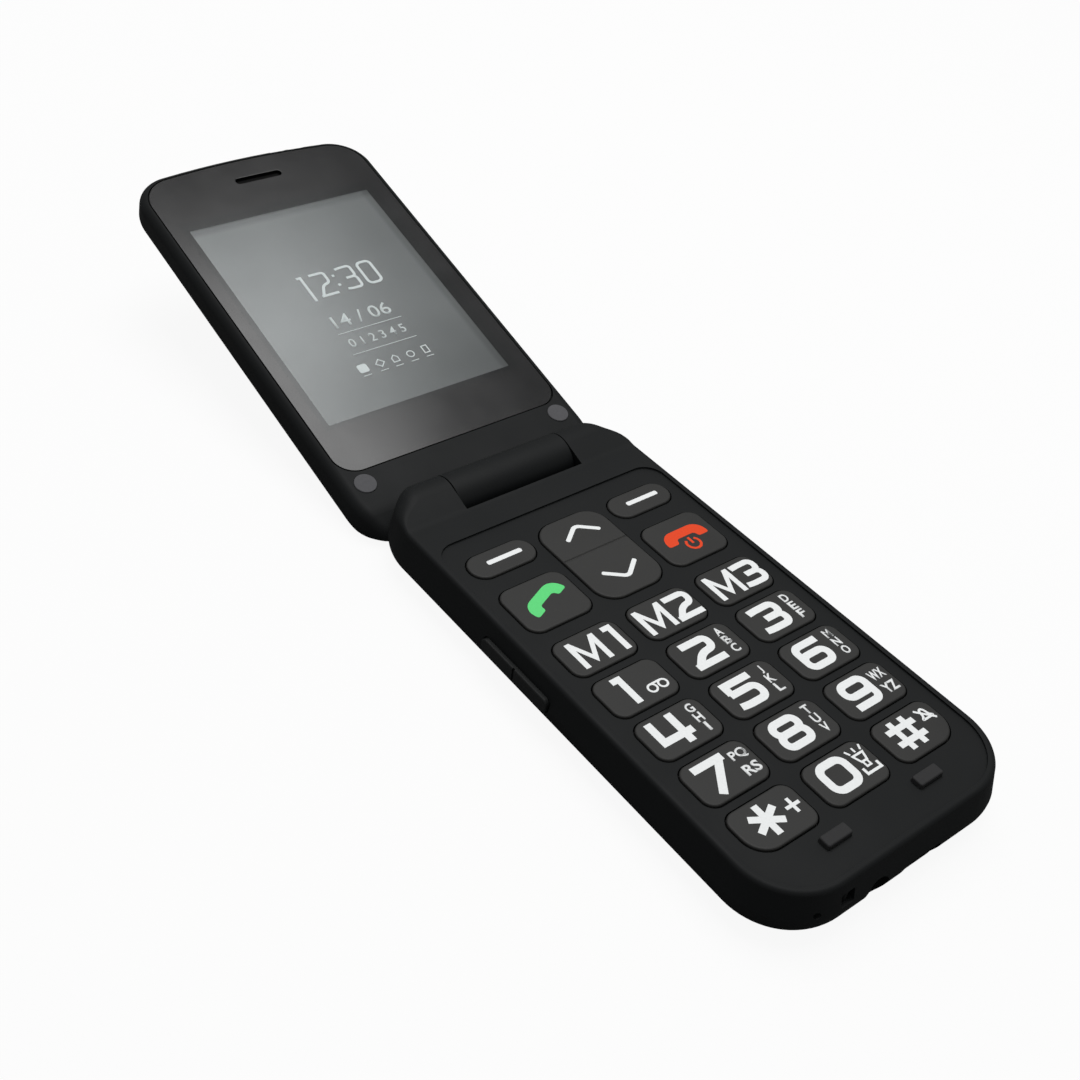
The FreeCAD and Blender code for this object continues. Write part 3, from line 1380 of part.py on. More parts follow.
def make_lid_hinge_parts():
    cartridge_start = -barrel_half + seat_gap
    cartridge_end = cartridge_start + cartridge_length
    inner = barrel_bore - slide_gap - cartridge_wall
    floor_x = cartridge_end - cartridge_floor
    body = make_lid_body("hinge_cartridge")
    solid(body, ALONG_X, cartridge_start, cartridge_end, circle(0.0, 0.0, barrel_bore - slide_gap))
    cut(body, ALONG_X, cartridge_start, floor_x, circle(0.0, 0.0, inner))

    follower_start = -notch_half + cam_nose_length + cam_bar_length + slide_gap
    follower_end = follower_start + follower_length
    body = make_lid_body("hinge_follower")
    solid(body, ALONG_X, follower_start, follower_end, circle(0.0, 0.0, inner - slide_gap))
    solid(body, ALONG_X, follower_end, follower_end + follower_spigot_length,
          circle(0.0, 0.0, follower_spigot_radius))
    cut(body, ALONG_X, follower_start, follower_start + follower_groove,
        centred_box(0.0, 0.0, 3 * cam_nose_radius, cam_bar_width + 2 * seat_gap, seat_gap))

    body = make_lid_body("hinge_spring")
    coil_start = follower_end + spring_wire + slide_gap
    coil_end = floor_x - spring_wire - slide_gap
    coil_radius = inner - seat_gap - spring_wire
    sketch = make_sketch(body, ALONG_Z)
    draw_circle(sketch, coil_start, coil_radius, spring_wire)
    coil = body.newObject("PartDesign::AdditiveHelix", "coil")
    coil.Profile = sketch
    coil.ReferenceAxis = (plane_of(body, "X_Axis"), [""])
    coil.Mode = "pitch-height-angle"
    bind(coil, "Pitch", spring_pitch)
    bind(coil, "Height", coil_end - coil_start)
    body.Tip = coil

    body = make_lid_body("display_flex")
    end = flex_start + flex_width
    solid(body, ALONG_X, flex_start, end, circle(0.0, 0.0, flex_radius))
    cut(body, ALONG_X, flex_start, end, circle(0.0, 0.0, flex_radius - flex_thickness))
    solid(body, ALONG_X, flex_start, end,
          plain_box(flex_radius - flex_thickness, flex_low, flex_radius, 0.0))
    solid(body, ALONG_X, flex_start, end,
          plain_box(flex_radius - flex_thickness, flex_low, lid_board_start + flex_overlap,
                    flex_low + flex_thickness))


# Build everything

keypad_form = make_keypad_form()
make_keypad_housing()
make_rear_chassis()
make_battery_cover()
make_battery()
make_battery_contacts()
make_main_board()
make_dome_sheet()
make_keypad_mat()
make_usb_socket()
make_headphone_jack()
make_microphone()
make_antenna()
make_loudspeaker()
make_camera()
make_torch_led()
make_sim_holder()
make_side_switch()
make_keypad_stops()
make_chassis_screws()
make_hinge_cam()
make_hinge_bush()
for place in places:
    make_key(*place)
make_nav_rocker()
make_volume_rocker()
lid_form = make_lid_form()
make_lid_frame()
make_lid_cover()
make_display_window()
make_lid_contents()
make_lid_fixings()
make_lid_hinge_parts()


# Checks and files

doc.recompute()
for item in doc.Objects:
    if "Invalid" in item.State or "Error" in item.State:
        raise RuntimeError("%s is not sound: %s" % (item.Label, item.State))
for body in exports:
    if body.Shape.isNull() or not body.Shape.isValid():
        raise RuntimeError("%s has no sound shape" % body.Label)
os.makedirs("parts", exist_ok=True)
for body in exports:
    body.Shape.exportStep("parts/" + body.Label + ".step")
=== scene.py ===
import math
import bmesh
import bpy
from mathutils import Matrix, Vector


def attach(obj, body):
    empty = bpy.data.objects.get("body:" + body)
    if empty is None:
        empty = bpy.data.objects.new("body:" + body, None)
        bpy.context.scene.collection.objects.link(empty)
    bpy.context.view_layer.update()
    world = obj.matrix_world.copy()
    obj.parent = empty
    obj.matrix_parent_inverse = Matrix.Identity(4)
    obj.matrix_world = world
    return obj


# A flip phone lying open on its back, on a white surface.
# All lengths in the drawing helpers are in millimetres; meshes are handed over in metres.

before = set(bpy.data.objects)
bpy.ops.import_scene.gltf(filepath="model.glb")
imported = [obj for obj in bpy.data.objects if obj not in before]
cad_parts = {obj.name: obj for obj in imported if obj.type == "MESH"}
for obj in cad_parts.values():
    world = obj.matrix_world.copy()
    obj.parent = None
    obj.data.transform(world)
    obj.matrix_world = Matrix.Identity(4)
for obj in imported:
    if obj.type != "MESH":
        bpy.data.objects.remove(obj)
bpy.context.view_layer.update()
MM = 0.001

# Places that the printed and dressed pieces share, in millimetres

KEY_TOP = 10.85
PRINT_SINK = 0.03
PRINT_PROUD = 0.02
PRINT_THICKNESS = PRINT_SINK + PRINT_PROUD
PRINT_STEP = 0.003
HINGE_Y = 49.1
HINGE_Z = 8.0
LID_TILT = math.radians(14.5)
LENS_UNDERSIDE = -4.50
PANEL_TOP = -4.60
DISPLAY_WIDTH = 43.2
DISPLAY_START = 27.5
DISPLAY_LENGTH = 57.6
DISPLAY_END = DISPLAY_START + DISPLAY_LENGTH

KEY_COLUMNS = (-16.0, 0.0, 16.0)
SOFT_ROW = 28.5
NAV_ROW = 20.7
CALL_ROW = 15.85
MEMORY_ROW = 2.63
NUMBER_ROWS = (-7.75, -18.13, -28.51, -38.89)


# Drawing helpers for print and thin pieces

SHARP_CORNER = math.radians(70)
RING_STEP = 20
LETTER_WEIGHT = 0.026


def round_off(shape, parts, reach, steps=6, affect="VERTICES"):
    """Rounds corners, or edges; the rounding starts at the reach from each."""
    bmesh.ops.bevel(shape, geom=parts, offset=reach, offset_type="OFFSET", segments=steps,
                    profile=0.5, affect=affect, material=-1)


def lift(shape, made, height):
    """Moves the vertices that an operator made up by a height."""
    bmesh.ops.translate(shape, vec=(0.0, 0.0, height),
                        verts=[part for part in made if isinstance(part, bmesh.types.BMVert)])


def stroke(shape, points, width, closed=False, soft=0.0, ends=0.0):
    """A flat line of even width through the points: a low wall along them, then thickened.
    Each line lies a hair above the last, so crossing lines share no face."""
    top = max((vertex.co.z for vertex in shape.verts), default=PRINT_THICKNESS) + PRINT_STEP
    corners = [shape.verts.new((x, y, 0.0)) for x, y in points]
    line = [shape.edges.new(pair) for pair in zip(corners, corners[1:])]
    if closed:
        line.append(shape.edges.new((corners[-1], corners[0])))
    if soft:
        turning = corners if closed else corners[1:-1]
        known = set(shape.edges) - set(line)
        round_off(shape, turning, soft)
        line = [edge for edge in shape.edges if edge not in known]
    raised = bmesh.ops.extrude_edge_only(shape, edges=line)["geom"]
    lift(shape, raised, top)
    wall = [part for part in raised if isinstance(part, bmesh.types.BMFace)]
    bmesh.ops.recalc_face_normals(shape, faces=wall)
    shape.normal_update()
    rim = {vertex for face in wall for vertex in face.verts}
    steps = [(vertex, vertex.normal * vertex.calc_shell_factor() * width / 2) for vertex in rim]
    for vertex, step in steps:
        vertex.co += step
    shape.normal_update()
    made = bmesh.ops.solidify(shape, geom=wall, thickness=width)["geom"]
    if ends:
        faces = set(wall) | {part for part in made if isinstance(part, bmesh.types.BMFace)}
        tips = [edge for edge in {e for face in faces for e in face.edges}
                if abs(edge.verts[0].co.z - edge.verts[1].co.z) > PRINT_SINK
                and edge.calc_face_angle(0.0) > SHARP_CORNER]
        round_off(shape, tips, ends, steps=4, affect="EDGES")


def rectangle(left, low, right, high, soft, far_soft=None):
    """An outline for a sheet; its high corners may be softer than its low ones."""
    if far_soft is None:
        far_soft = soft
    return [(left, low, soft), (right, low, soft), (right, high, far_soft), (left, high, far_soft)]


def sheet(shape, *outlines, thickness=PRINT_THICKNESS):
    """A flat sheet inside the first outline, open inside the others.
    Each corner is x, y and how far from it the rounding starts."""
    known = set(shape.edges)
    for outline in outlines:
        corners = [shape.verts.new((x, y, 0.0)) for x, y, soft in outline]
        for corner, after in zip(corners, corners[1:] + corners[:1]):
            shape.edges.new((corner, after))
        for reach in {soft for x, y, soft in outline}:
            like = [corner for corner, (x, y, soft) in zip(corners, outline) if soft == reach]
            round_off(shape, like, reach)
    rims = [edge for edge in shape.edges if edge not in known]
    filled = bmesh.ops.triangle_fill(shape, use_beauty=True, use_dissolve=False, edges=rims,
                                     normal=(0.0, 0.0, 1.0))["geom"]
    faces = [part for part in filled if isinstance(part, bmesh.types.BMFace)]
    raised = bmesh.ops.extrude_face_region(shape, geom=faces, use_keep_orig=True)["geom"]
    lift(shape, raised, thickness)


def ring(shape, x, y, radius, width):
    """A round line."""
    turn = [(x + radius * math.cos(math.radians(a)), y + radius * math.sin(math.radians(a)))
            for a in range(0, 360, RING_STEP)]
    stroke(shape, turn, width, closed=True)


def letters(shape, words, x, y, width, height, weight=LETTER_WEIGHT):
    """Printed letters, fitted into a box round x, y; the weight is in letter heights."""
    text = bpy.data.curves.new("letters", "FONT")
    text.body = words
    text.offset = weight
    text.resolution_u = 4
    holder = bpy.data.objects.new("letters", text)
    flat = bpy.data.meshes.new_from_object(holder)
    low = [min(v.co[i] for v in flat.vertices) for i in (0, 1)]
    high = [max(v.co[i] for v in flat.vertices) for i in (0, 1)]
    scale_x = width / (high[0] - low[0])
    scale_y = height / (high[1] - low[1])
    flat.transform(Matrix.Translation((x - width / 2, y - height / 2, PRINT_THICKNESS))
                   @ Matrix.Diagonal((scale_x, scale_y, 1.0, 1.0))
                   @ Matrix.Translation((-low[0], -low[1], 0.0)))
    known = set(shape.faces)
    shape.from_mesh(flat)
    fresh = [face for face in shape.faces if face not in known]
    lowered = bmesh.ops.extrude_face_region(shape, geom=fresh, use_keep_orig=True)["geom"]
    lift(shape, lowered, -PRINT_THICKNESS)
    bpy.data.objects.remove(holder)
    bpy.data.curves.remove(text)
    bpy.data.meshes.remove(flat)


def piece(name, shape, place, body, material):
    """Makes the drawn millimetre shape a piece at its place, riding on a body."""
    bmesh.ops.recalc_face_normals(shape, faces=shape.faces)
    bmesh.ops.transform(shape, matrix=Matrix.Scale(MM, 4) @ place, verts=shape.verts)
    mesh = bpy.data.meshes.new(name)
    shape.to_mesh(mesh)
    shape.free()
    made = bpy.data.objects.new(name, mesh)
    bpy.context.scene.collection.objects.link(made)
    mesh.materials.append(material)
    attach(made, body)
    return made


def on_key(x, y):
    """The place of print on a key whose centre is x, y."""
    return Matrix.Translation((x, y, KEY_TOP - PRINT_SINK))


def on_lid(across, along, up):
    """A place in the lid: across it, along it from the hinge, and up from the hinge line."""
    return (Matrix.Translation((0.0, HINGE_Y, HINGE_Z)) @ Matrix.Rotation(LID_TILT, 4, "X")
            @ Matrix.Translation((across, along, up)))


# Materials

GLASS_SHINE = 0.54
PANE_MARGIN = 1.6
SOFT_EDGE_SAMPLES = 4


def finish(name, colour, roughness, metal=0.0, specular=0.5, coat=0.0):
    """A material with its tree and its shader."""
    material = bpy.data.materials.new(name)
    material.use_nodes = True
    tree = material.node_tree
    shader = tree.nodes["Principled BSDF"]
    shader.inputs["Base Color"].default_value = (*colour, 1.0)
    shader.inputs["Roughness"].default_value = roughness
    shader.inputs["Metallic"].default_value = metal
    shader.inputs["Specular IOR Level"].default_value = specular
    shader.inputs["Coat Weight"].default_value = coat
    return material, tree, shader


def add(tree, kind, inputs=(), **settings):
    """A node with its settings and inputs; an input is a value or another node's output."""
    made = tree.nodes.new("ShaderNode" + kind)
    for setting, value in settings.items():
        setattr(made, setting, value)
    for socket, value in dict(inputs).items():
        if isinstance(value, bpy.types.NodeSocket):
            tree.links.new(value, made.inputs[socket])
        else:
            made.inputs[socket].default_value = value
    return made


def where(tree):
    """The point on the piece, in metres in the object's frame."""
    return add(tree, "TexCoord").outputs["Object"]


def cloud(tree, feature, detail=3.0, vector=None):
    """Noise with features of a size in millimetres."""
    return add(tree, "TexNoise", {"Vector": vector or where(tree), "Scale": 1.0 / (feature * MM),
                                  "Detail": detail}).outputs["Fac"]


def between(tree, value, start, end, low, high, smooth=False):
    """The value's span from start to end, laid over low to high."""
    return add(tree, "MapRange", {"Value": value, "From Min": start, "From Max": end,
                                  "To Min": low, "To Max": high},
               interpolation_type="SMOOTHSTEP" if smooth else "LINEAR").outputs["Result"]


def mixed(tree, share, first, second):
    """Two colours by a share."""
    made = tree.nodes.new("ShaderNodeMix")
    made.data_type = "RGBA"
    tree.links.new(share, made.inputs["Factor"])
    for socket, colour in (("A", first), ("B", second)):
        target = next(i for i in made.inputs if i.name == socket and i.type == "RGBA")
        if isinstance(colour, bpy.types.NodeSocket):
            tree.links.new(colour, target)
        else:
            target.default_value = (*colour, 1.0)
    return next(o for o in made.outputs if o.type == "RGBA")


def sums(tree, kind, first, second):
    """Plain arithmetic on two values."""
    return add(tree, "Math", {0: first, 1: second}, operation=kind).outputs[0]


def edge_round(tree, radius):
    """The surface's direction with its sharp edges softened, and how near an edge the point is."""
    soft = add(tree, "Bevel", {"Radius": radius * MM}, samples=SOFT_EDGE_SAMPLES).outputs["Normal"]
    true = add(tree, "NewGeometry").outputs["Normal"]
    turned = add(tree, "VectorMath", {0: soft, 1: true}, operation="DOT_PRODUCT").outputs["Value"]
    return soft, between(tree, turned, 0.995, 0.80, 0.0, 1.0, smooth=True)


def surface(tree, shader, height, depth, normal=None):
    """Small relief on the surface, depth in millimetres."""
    values = {"Height": height, "Distance": depth * MM, "Strength": 1.0}
    if normal is not None:
        values["Normal"] = normal
    relief = add(tree, "Bump", values)
    tree.links.new(relief.outputs["Normal"], shader.inputs["Normal"])


def moulded(name, colour, worn, roughness, specular, grain=0.16, depth=0.0035, rounding=0.12):
    """Moulded plastic: spark-eroded grain, handling shine in broad patches and paler worn edges."""
    material, tree, shader = finish(name, colour, roughness, specular=specular)
    soft, near_edge = edge_round(tree, rounding)
    patches = cloud(tree, 14.0, 4.0)
    fine = cloud(tree, grain, 2.0)
    scuffs = cloud(tree, 1.3, 5.0)
    wear = sums(tree, "MULTIPLY", near_edge, between(tree, scuffs, 0.35, 0.65, 0.25, 1.0))
    tone = mixed(tree, between(tree, patches, 0.3, 0.7, 0.0, 1.0),
                 [c * 0.92 for c in colour], [c * 1.10 for c in colour])
    dusted = mixed(tree, between(tree, fine, 0.62, 0.80, 0.0, 0.35), tone,
                   [c * 1.9 for c in colour])
    tree.links.new(mixed(tree, wear, dusted, worn), shader.inputs["Base Color"])
    shine = between(tree, patches, 0.3, 0.7, roughness - 0.05, roughness + 0.05)
    tree.links.new(sums(tree, "SUBTRACT", shine, sums(tree, "MULTIPLY", wear, 0.08)),
                   shader.inputs["Roughness"])
    surface(tree, shader, fine, depth, soft)
    return material


def printed(name, colour, painted_glow=0.0):
    """Screen-printed ink: slightly uneven cover, a fine mesh texture and small pinholes; its glow
    is painted light.
    """
    material, tree, shader = finish(name, colour, 0.42, specular=0.25)
    cover = cloud(tree, 0.35, 3.0)
    tree.links.new(mixed(tree, between(tree, cover, 0.35, 0.65, 0.0, 1.0),
                         [c * 0.94 for c in colour], colour), shader.inputs["Base Color"])
    tree.links.new(between(tree, cover, 0.3, 0.7, 0.38, 0.50), shader.inputs["Roughness"])
    # Painted glow: the ink gives off a little light of its own, so it reads brighter.
    shader.inputs["Emission Color"].default_value = (*colour, 1.0)
    shader.inputs["Emission Strength"].default_value = painted_glow
    surface(tree, shader, cloud(tree, 0.12, 1.0), 0.002)
    return material


def rubber(name, colour, roughness, see_through=0.0):
    """Rubber: dull, slightly dusty, with a soft uneven skin."""
    material, tree, shader = finish(name, colour, roughness, specular=0.3)
    dust = cloud(tree, 0.5, 5.0)
    tree.links.new(mixed(tree, between(tree, dust, 0.3, 0.75, 0.0, 1.0),
                         [c * 0.88 for c in colour], [c * 1.15 for c in colour]),
                   shader.inputs["Base Color"])
    tree.links.new(between(tree, dust, 0.3, 0.7, roughness - 0.06, roughness + 0.06),
                   shader.inputs["Roughness"])
    shader.inputs["Subsurface Weight"].default_value = see_through
    shader.inputs["Subsurface Radius"].default_value = (MM, MM, MM)
    surface(tree, shader, cloud(tree, 0.2, 2.0), 0.006)
    return material


def metal(name, colour, roughness, brushed=None):
    """Bare or plated metal: rolling or brushing lines along an axis, and dull patches."""
    material, tree, shader = finish(name, colour, roughness, metal=1.0)
    point = where(tree)
    if brushed is not None:
        stretch = [1.0, 1.0, 1.0]
        stretch[brushed] = 0.04
        point = add(tree, "Mapping", {"Vector": point, "Scale": stretch}).outputs["Vector"]
    lines = cloud(tree, 0.08, 3.0, point)
    patches = cloud(tree, 3.0, 4.0)
    tree.links.new(mixed(tree, between(tree, patches, 0.45, 0.7, 0.0, 1.0), colour,
                         [c * 0.75 for c in colour]), shader.inputs["Base Color"])
    spread = sums(tree, "ADD", between(tree, lines, 0.3, 0.7, roughness - 0.07, roughness + 0.05),
                  between(tree, patches, 0.4, 0.7, 0.0, 0.10))
    tree.links.new(spread, shader.inputs["Roughness"])
    surface(tree, shader, lines, 0.0015)
    return material


def circuit_board():
    """Solder mask over copper: paler tracks under green lacquer, and plated pads."""
    green = (0.012, 0.10, 0.045)
    material, tree, shader = finish("circuit_board", green, 0.35, coat=0.3)
    point = where(tree)
    lanes = add(tree, "TexVoronoi", {"Vector": point, "Scale": 700.0},
                feature="DISTANCE_TO_EDGE", distance="EUCLIDEAN").outputs["Distance"]
    tracks = between(tree, lanes, 0.02, 0.06, 1.0, 0.0)
    spots = add(tree, "TexVoronoi", {"Vector": point, "Scale": 420.0,
                                     "Randomness": 0.6}).outputs["Distance"]
    pad = between(tree, spots, 0.16, 0.20, 1.0, 0.0)
    traced = mixed(tree, tracks, green, (0.03, 0.20, 0.085))
    tree.links.new(mixed(tree, pad, traced, (0.72, 0.52, 0.22)), shader.inputs["Base Color"])
    tree.links.new(pad, shader.inputs["Metallic"])
    surface(tree, shader, tracks, 0.02)
    return material


def amber_film():
    """Flexible circuit: amber film with darker copper lines running along it."""
    material, tree, shader = finish("amber_film", (0.50, 0.22, 0.035), 0.3, coat=0.4)
    lines = add(tree, "TexWave", {"Vector": where(tree), "Scale": 700.0, "Distortion": 0.0},
                wave_type="BANDS", bands_direction="X").outputs["Fac"]
    tree.links.new(mixed(tree, between(tree, lines, 0.45, 0.55, 0.0, 1.0),
                         (0.52, 0.24, 0.04), (0.30, 0.12, 0.02)), shader.inputs["Base Color"])
    surface(tree, shader, lines, 0.01)
    return material


def battery_film():
    """Battery sleeve: grey printed film, faintly wrinkled over the cell."""
    colour = (0.16, 0.17, 0.18)
    material, tree, shader = finish("battery_film", colour, 0.32, coat=0.25)
    wrinkle = cloud(tree, 6.0, 4.0)
    tree.links.new(mixed(tree, between(tree, wrinkle, 0.35, 0.65, 0.0, 1.0),
                         [c * 0.85 for c in colour], [c * 1.1 for c in colour]),
                   shader.inputs["Base Color"])
    tree.links.new(between(tree, wrinkle, 0.3, 0.7, 0.26, 0.40), shader.inputs["Roughness"])
    surface(tree, shader, wrinkle, 0.06)
    return material


def lid_place(tree):
    """Where the point lies across the lid, and along it from the hinge, in metres."""
    axes = add(tree, "SeparateXYZ", {"Vector": where(tree)}).outputs
    run = sums(tree, "SUBTRACT", axes["Y"], HINGE_Y * MM)
    rise = sums(tree, "SUBTRACT", axes["Z"], HINGE_Z * MM)
    along = sums(tree, "ADD", sums(tree, "MULTIPLY", run, math.cos(LID_TILT)),
                 sums(tree, "MULTIPLY", rise, math.sin(LID_TILT)))
    return axes["X"], along


def clear_pane(name, roughness):
    """A hard clear pane: what lies under it shows, and its face mirrors the room."""
    material, tree, shader = finish(name, (1.0, 1.0, 1.0), roughness)
    output = tree.nodes["Material Output"]
    tree.nodes.remove(shader)
    facing = add(tree, "LayerWeight", {"Blend": 0.5}).outputs["Facing"]
    steep = sums(tree, "POWER", facing, 5.0)
    mirror = sums(tree, "ADD", sums(tree, "MULTIPLY", steep, 0.95), 0.045)
    smear = cloud(tree, 9.0, 5.0)
    haze = between(tree, smear, 0.35, 0.70, roughness - 0.03, roughness + 0.06)
    through = add(tree, "BsdfTransparent", {"Color": (0.96, 0.97, 0.97, 1.0)}).outputs[0]
    gloss = add(tree, "BsdfGlossy", {"Color": (1.0, 1.0, 1.0, 1.0), "Roughness": haze}).outputs[0]
    both = add(tree, "MixShader", {0: mirror, 1: through, 2: gloss}).outputs[0]
    tree.links.new(both, output.inputs["Surface"])
    return material


def haze_of_glass(tree, shader):
    """The lid pane's uneven haze, shared by all that is seen through it."""
    smear = cloud(tree, 9.0, 5.0)
    tree.links.new(between(tree, smear, 0.35, 0.70, 0.185, 0.225), shader.inputs["Roughness"])


def black_gloss(name):
    """Black behind a hard hazy face, with faint smears; gives back its tree and shader too."""
    colour = (0.0030, 0.0032, 0.0035)
    material, tree, shader = finish(name, colour, 0.20, specular=GLASS_SHINE)
    haze_of_glass(tree, shader)
    tree.links.new(mixed(tree, between(tree, cloud(tree, 0.35, 3.0), 0.35, 0.65, 0.0, 1.0), colour,
                         [c * 1.15 for c in colour]), shader.inputs["Base Color"])
    return material, tree, shader


def lid_pane():
    """The lid's pane: printed black round the display, clear over it and from inside.
    What lies under the clear part carries the pane's shine."""
    material, tree, shader = black_gloss("lens_pane")
    across, along = lid_place(tree)
    middle = (DISPLAY_START + DISPLAY_LENGTH / 2) * MM
    over_width = add(tree, "Math", {0: across, 1: 0.0, 2: (DISPLAY_WIDTH / 2 + PANE_MARGIN) * MM},
                     operation="COMPARE").outputs[0]
    over_length = add(tree, "Math", {0: along, 1: middle,
                                     2: (DISPLAY_LENGTH / 2 + PANE_MARGIN) * MM},
                      operation="COMPARE").outputs[0]
    inside = add(tree, "NewGeometry").outputs["Backfacing"]
    see_through = sums(tree, "MAXIMUM", sums(tree, "MULTIPLY", over_width, over_length), inside)
    clear = add(tree, "BsdfTransparent", {"Color": (0.97, 0.98, 0.98, 1.0)}).outputs[0]
    both = add(tree, "MixShader", {0: see_through, 1: shader.outputs[0], 2: clear})
    tree.links.new(both.outputs[0], tree.nodes["Material Output"].inputs["Surface"])
    return material


def lit_display():
    """A lit grey liquid-crystal panel: dimmer near the hinge, with painted shade along its far and
    right edges where the bezel's shadow falls on it.
    """
    material, tree, shader = finish("lit_display", (0.010, 0.011, 0.012), 0.20,
                                    specular=GLASS_SHINE)
    haze_of_glass(tree, shader)
    across, along = lid_place(tree)
    rise = between(tree, along, 0.028, 0.052, 0.115, 0.175, smooth=True)
    fall = between(tree, across, -0.010, 0.022, 1.0, 0.74, smooth=True)
    level = sums(tree, "MULTIPLY", rise, fall)
    # Painted shade: darker bands inside the right and far edges stand for the bezel's shadow on the
    # panel.
    right = DISPLAY_WIDTH / 2 * MM
    right_painted_shade = between(tree, across, right - 0.0022, right - 0.0008, 1.0, 0.72, smooth=True)
    far = DISPLAY_END * MM
    far_painted_shade = between(tree, along, far - 0.0026, far - 0.0008, 1.0, 0.74, smooth=True)
    mottle = between(tree, cloud(tree, 12.0, 2.0), 0.3, 0.7, 0.97, 1.03)
    dots = add(tree, "TexWave", {"Vector": where(tree), "Scale": 900.0}, wave_type="BANDS",
               bands_direction="X").outputs["Fac"]
    weave = between(tree, dots, 0.0, 1.0, 0.975, 1.02)
    # Both bands of painted shade together, laid over the panel's light.
    edges = sums(tree, "MULTIPLY", right_painted_shade, far_painted_shade)
    light = sums(tree, "MULTIPLY", sums(tree, "MULTIPLY", level, edges),
                 sums(tree, "MULTIPLY", mottle, weave))
    shader.inputs["Emission Color"].default_value = (0.965, 1.0, 1.0, 1.0)
    tree.links.new(light, shader.inputs["Emission Strength"])
    return material


soft_touch_black = moulded("soft_touch_black", (0.0060, 0.0070, 0.0074),
                           (0.020, 0.022, 0.023), 0.60, 0.18)
lid_back_black = moulded("lid_back_black", (0.0056, 0.0066, 0.0070),
                         (0.019, 0.021, 0.022), 0.56, 0.22)
key_plastic = moulded("key_plastic", (0.030, 0.030, 0.029), (0.062, 0.062, 0.060), 0.50, 0.22,
                      grain=0.22, depth=0.0025, rounding=0.30)
rocker_black = moulded("rocker_black", (0.010, 0.011, 0.011), (0.030, 0.031, 0.031), 0.50, 0.22)
chassis_plastic = moulded("chassis_plastic", (0.030, 0.030, 0.032), (0.05, 0.05, 0.05),
                          0.55, 0.4, grain=0.3)
black_ink = black_gloss("black_ink")[0]
# The inks carry a small painted glow. On the screen picture it stands in for the display's light.
print_white = printed("print_white", (0.90, 0.92, 0.92), 0.06)
print_green = printed("print_green", (0.118, 0.735, 0.215), 0.06)
print_red = printed("print_red", (0.82, 0.060, 0.008), 0.06)
screen_white = printed("screen_white", (0.62, 0.65, 0.65), 0.14)
pad_rubber = rubber("pad_rubber", (0.086, 0.086, 0.092), 0.72)
stop_rubber = rubber("stop_rubber", (0.024, 0.024, 0.025), 0.70)
mat_rubber = rubber("mat_rubber", (0.42, 0.42, 0.40), 0.6, see_through=0.3)
lens_pane = lid_pane()
camera_pane = clear_pane("camera_pane", 0.05)
spring_steel = metal("spring_steel", (0.50, 0.50, 0.51), 0.32, brushed=0)
pressed_steel = metal("pressed_steel", (0.55, 0.55, 0.56), 0.34)
nickel_plate = metal("nickel_plate", (0.62, 0.60, 0.57), 0.24)
gold_plate = metal("gold_plate", (0.83, 0.60, 0.25), 0.28)
magnet_plate = metal("magnet_plate", (0.46, 0.46, 0.47), 0.30)
dark_mesh = metal("dark_mesh", (0.008, 0.008, 0.008), 0.60)
# The USB socket's metal is near-black: painted shade standing in for the dark inside of the socket.
painted_shade_socket_metal = metal("painted_shade_socket_metal", (0.016, 0.016, 0.017), 0.45)
socket_plastic = moulded("socket_plastic", (0.0040, 0.0040, 0.0042), (0.010, 0.010, 0.010),
                         0.60, 0.12)
led_lens = rubber("led_lens", (0.80, 0.78, 0.62), 0.25, see_through=0.4)
green_board = circuit_board()

FINISHES = {
    "volume_rocker": rocker_black,
    "keypad_housing": soft_touch_black,
    "battery_cover": soft_touch_black,
    "lid_frame": soft_touch_black,
    "lid_cover": lid_back_black,
    "rear_chassis": chassis_plastic,
    "battery": battery_film(),
    "battery_contacts": gold_plate,
    "main_board": green_board,
    "lid_board": green_board,
    "dome_sheet": pressed_steel,
    "keypad_mat": mat_rubber,
    "usb_socket": painted_shade_socket_metal,
    "headphone_jack": socket_plastic,
    "microphone": pressed_steel,
    "antenna": chassis_plastic,
    "loudspeaker": pressed_steel,
    "camera_module": chassis_plastic,
    "camera_window": camera_pane,
    "torch_led": led_lens,
    "sim_holder": spring_steel,
    "side_switch": pressed_steel,
    "keypad_stops": stop_rubber,
    "chassis_screws": nickel_plate,
    "hinge_cam": pressed_steel,
    "hinge_bush": pressed_steel,
    "display_window": lens_pane,
    "display_panel": lit_display(),
    "earpiece": dark_mesh,
    "earpiece_mesh": dark_mesh,
    "screw_pads": pad_rubber,
    "lid_screws": nickel_plate,
    "vibration_motor": spring_steel,
    "lid_magnet": magnet_plate,
    "hinge_cartridge": pressed_steel,
    "hinge_follower": pressed_steel,
    "hinge_spring": spring_steel,
    "display_flex": amber_film(),
}
for name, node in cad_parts.items():
    node.data.materials.clear()
    node.data.materials.append(FINISHES.get(name, key_plastic))


# Numerals on the keys: strokes in millimetres from the numeral's middle, each with its points,
# whether it closes, and how far its bends are rounded

NUMERAL = 1.42
SIDE = 2.56
TALL = 2.52
BASE = -TALL

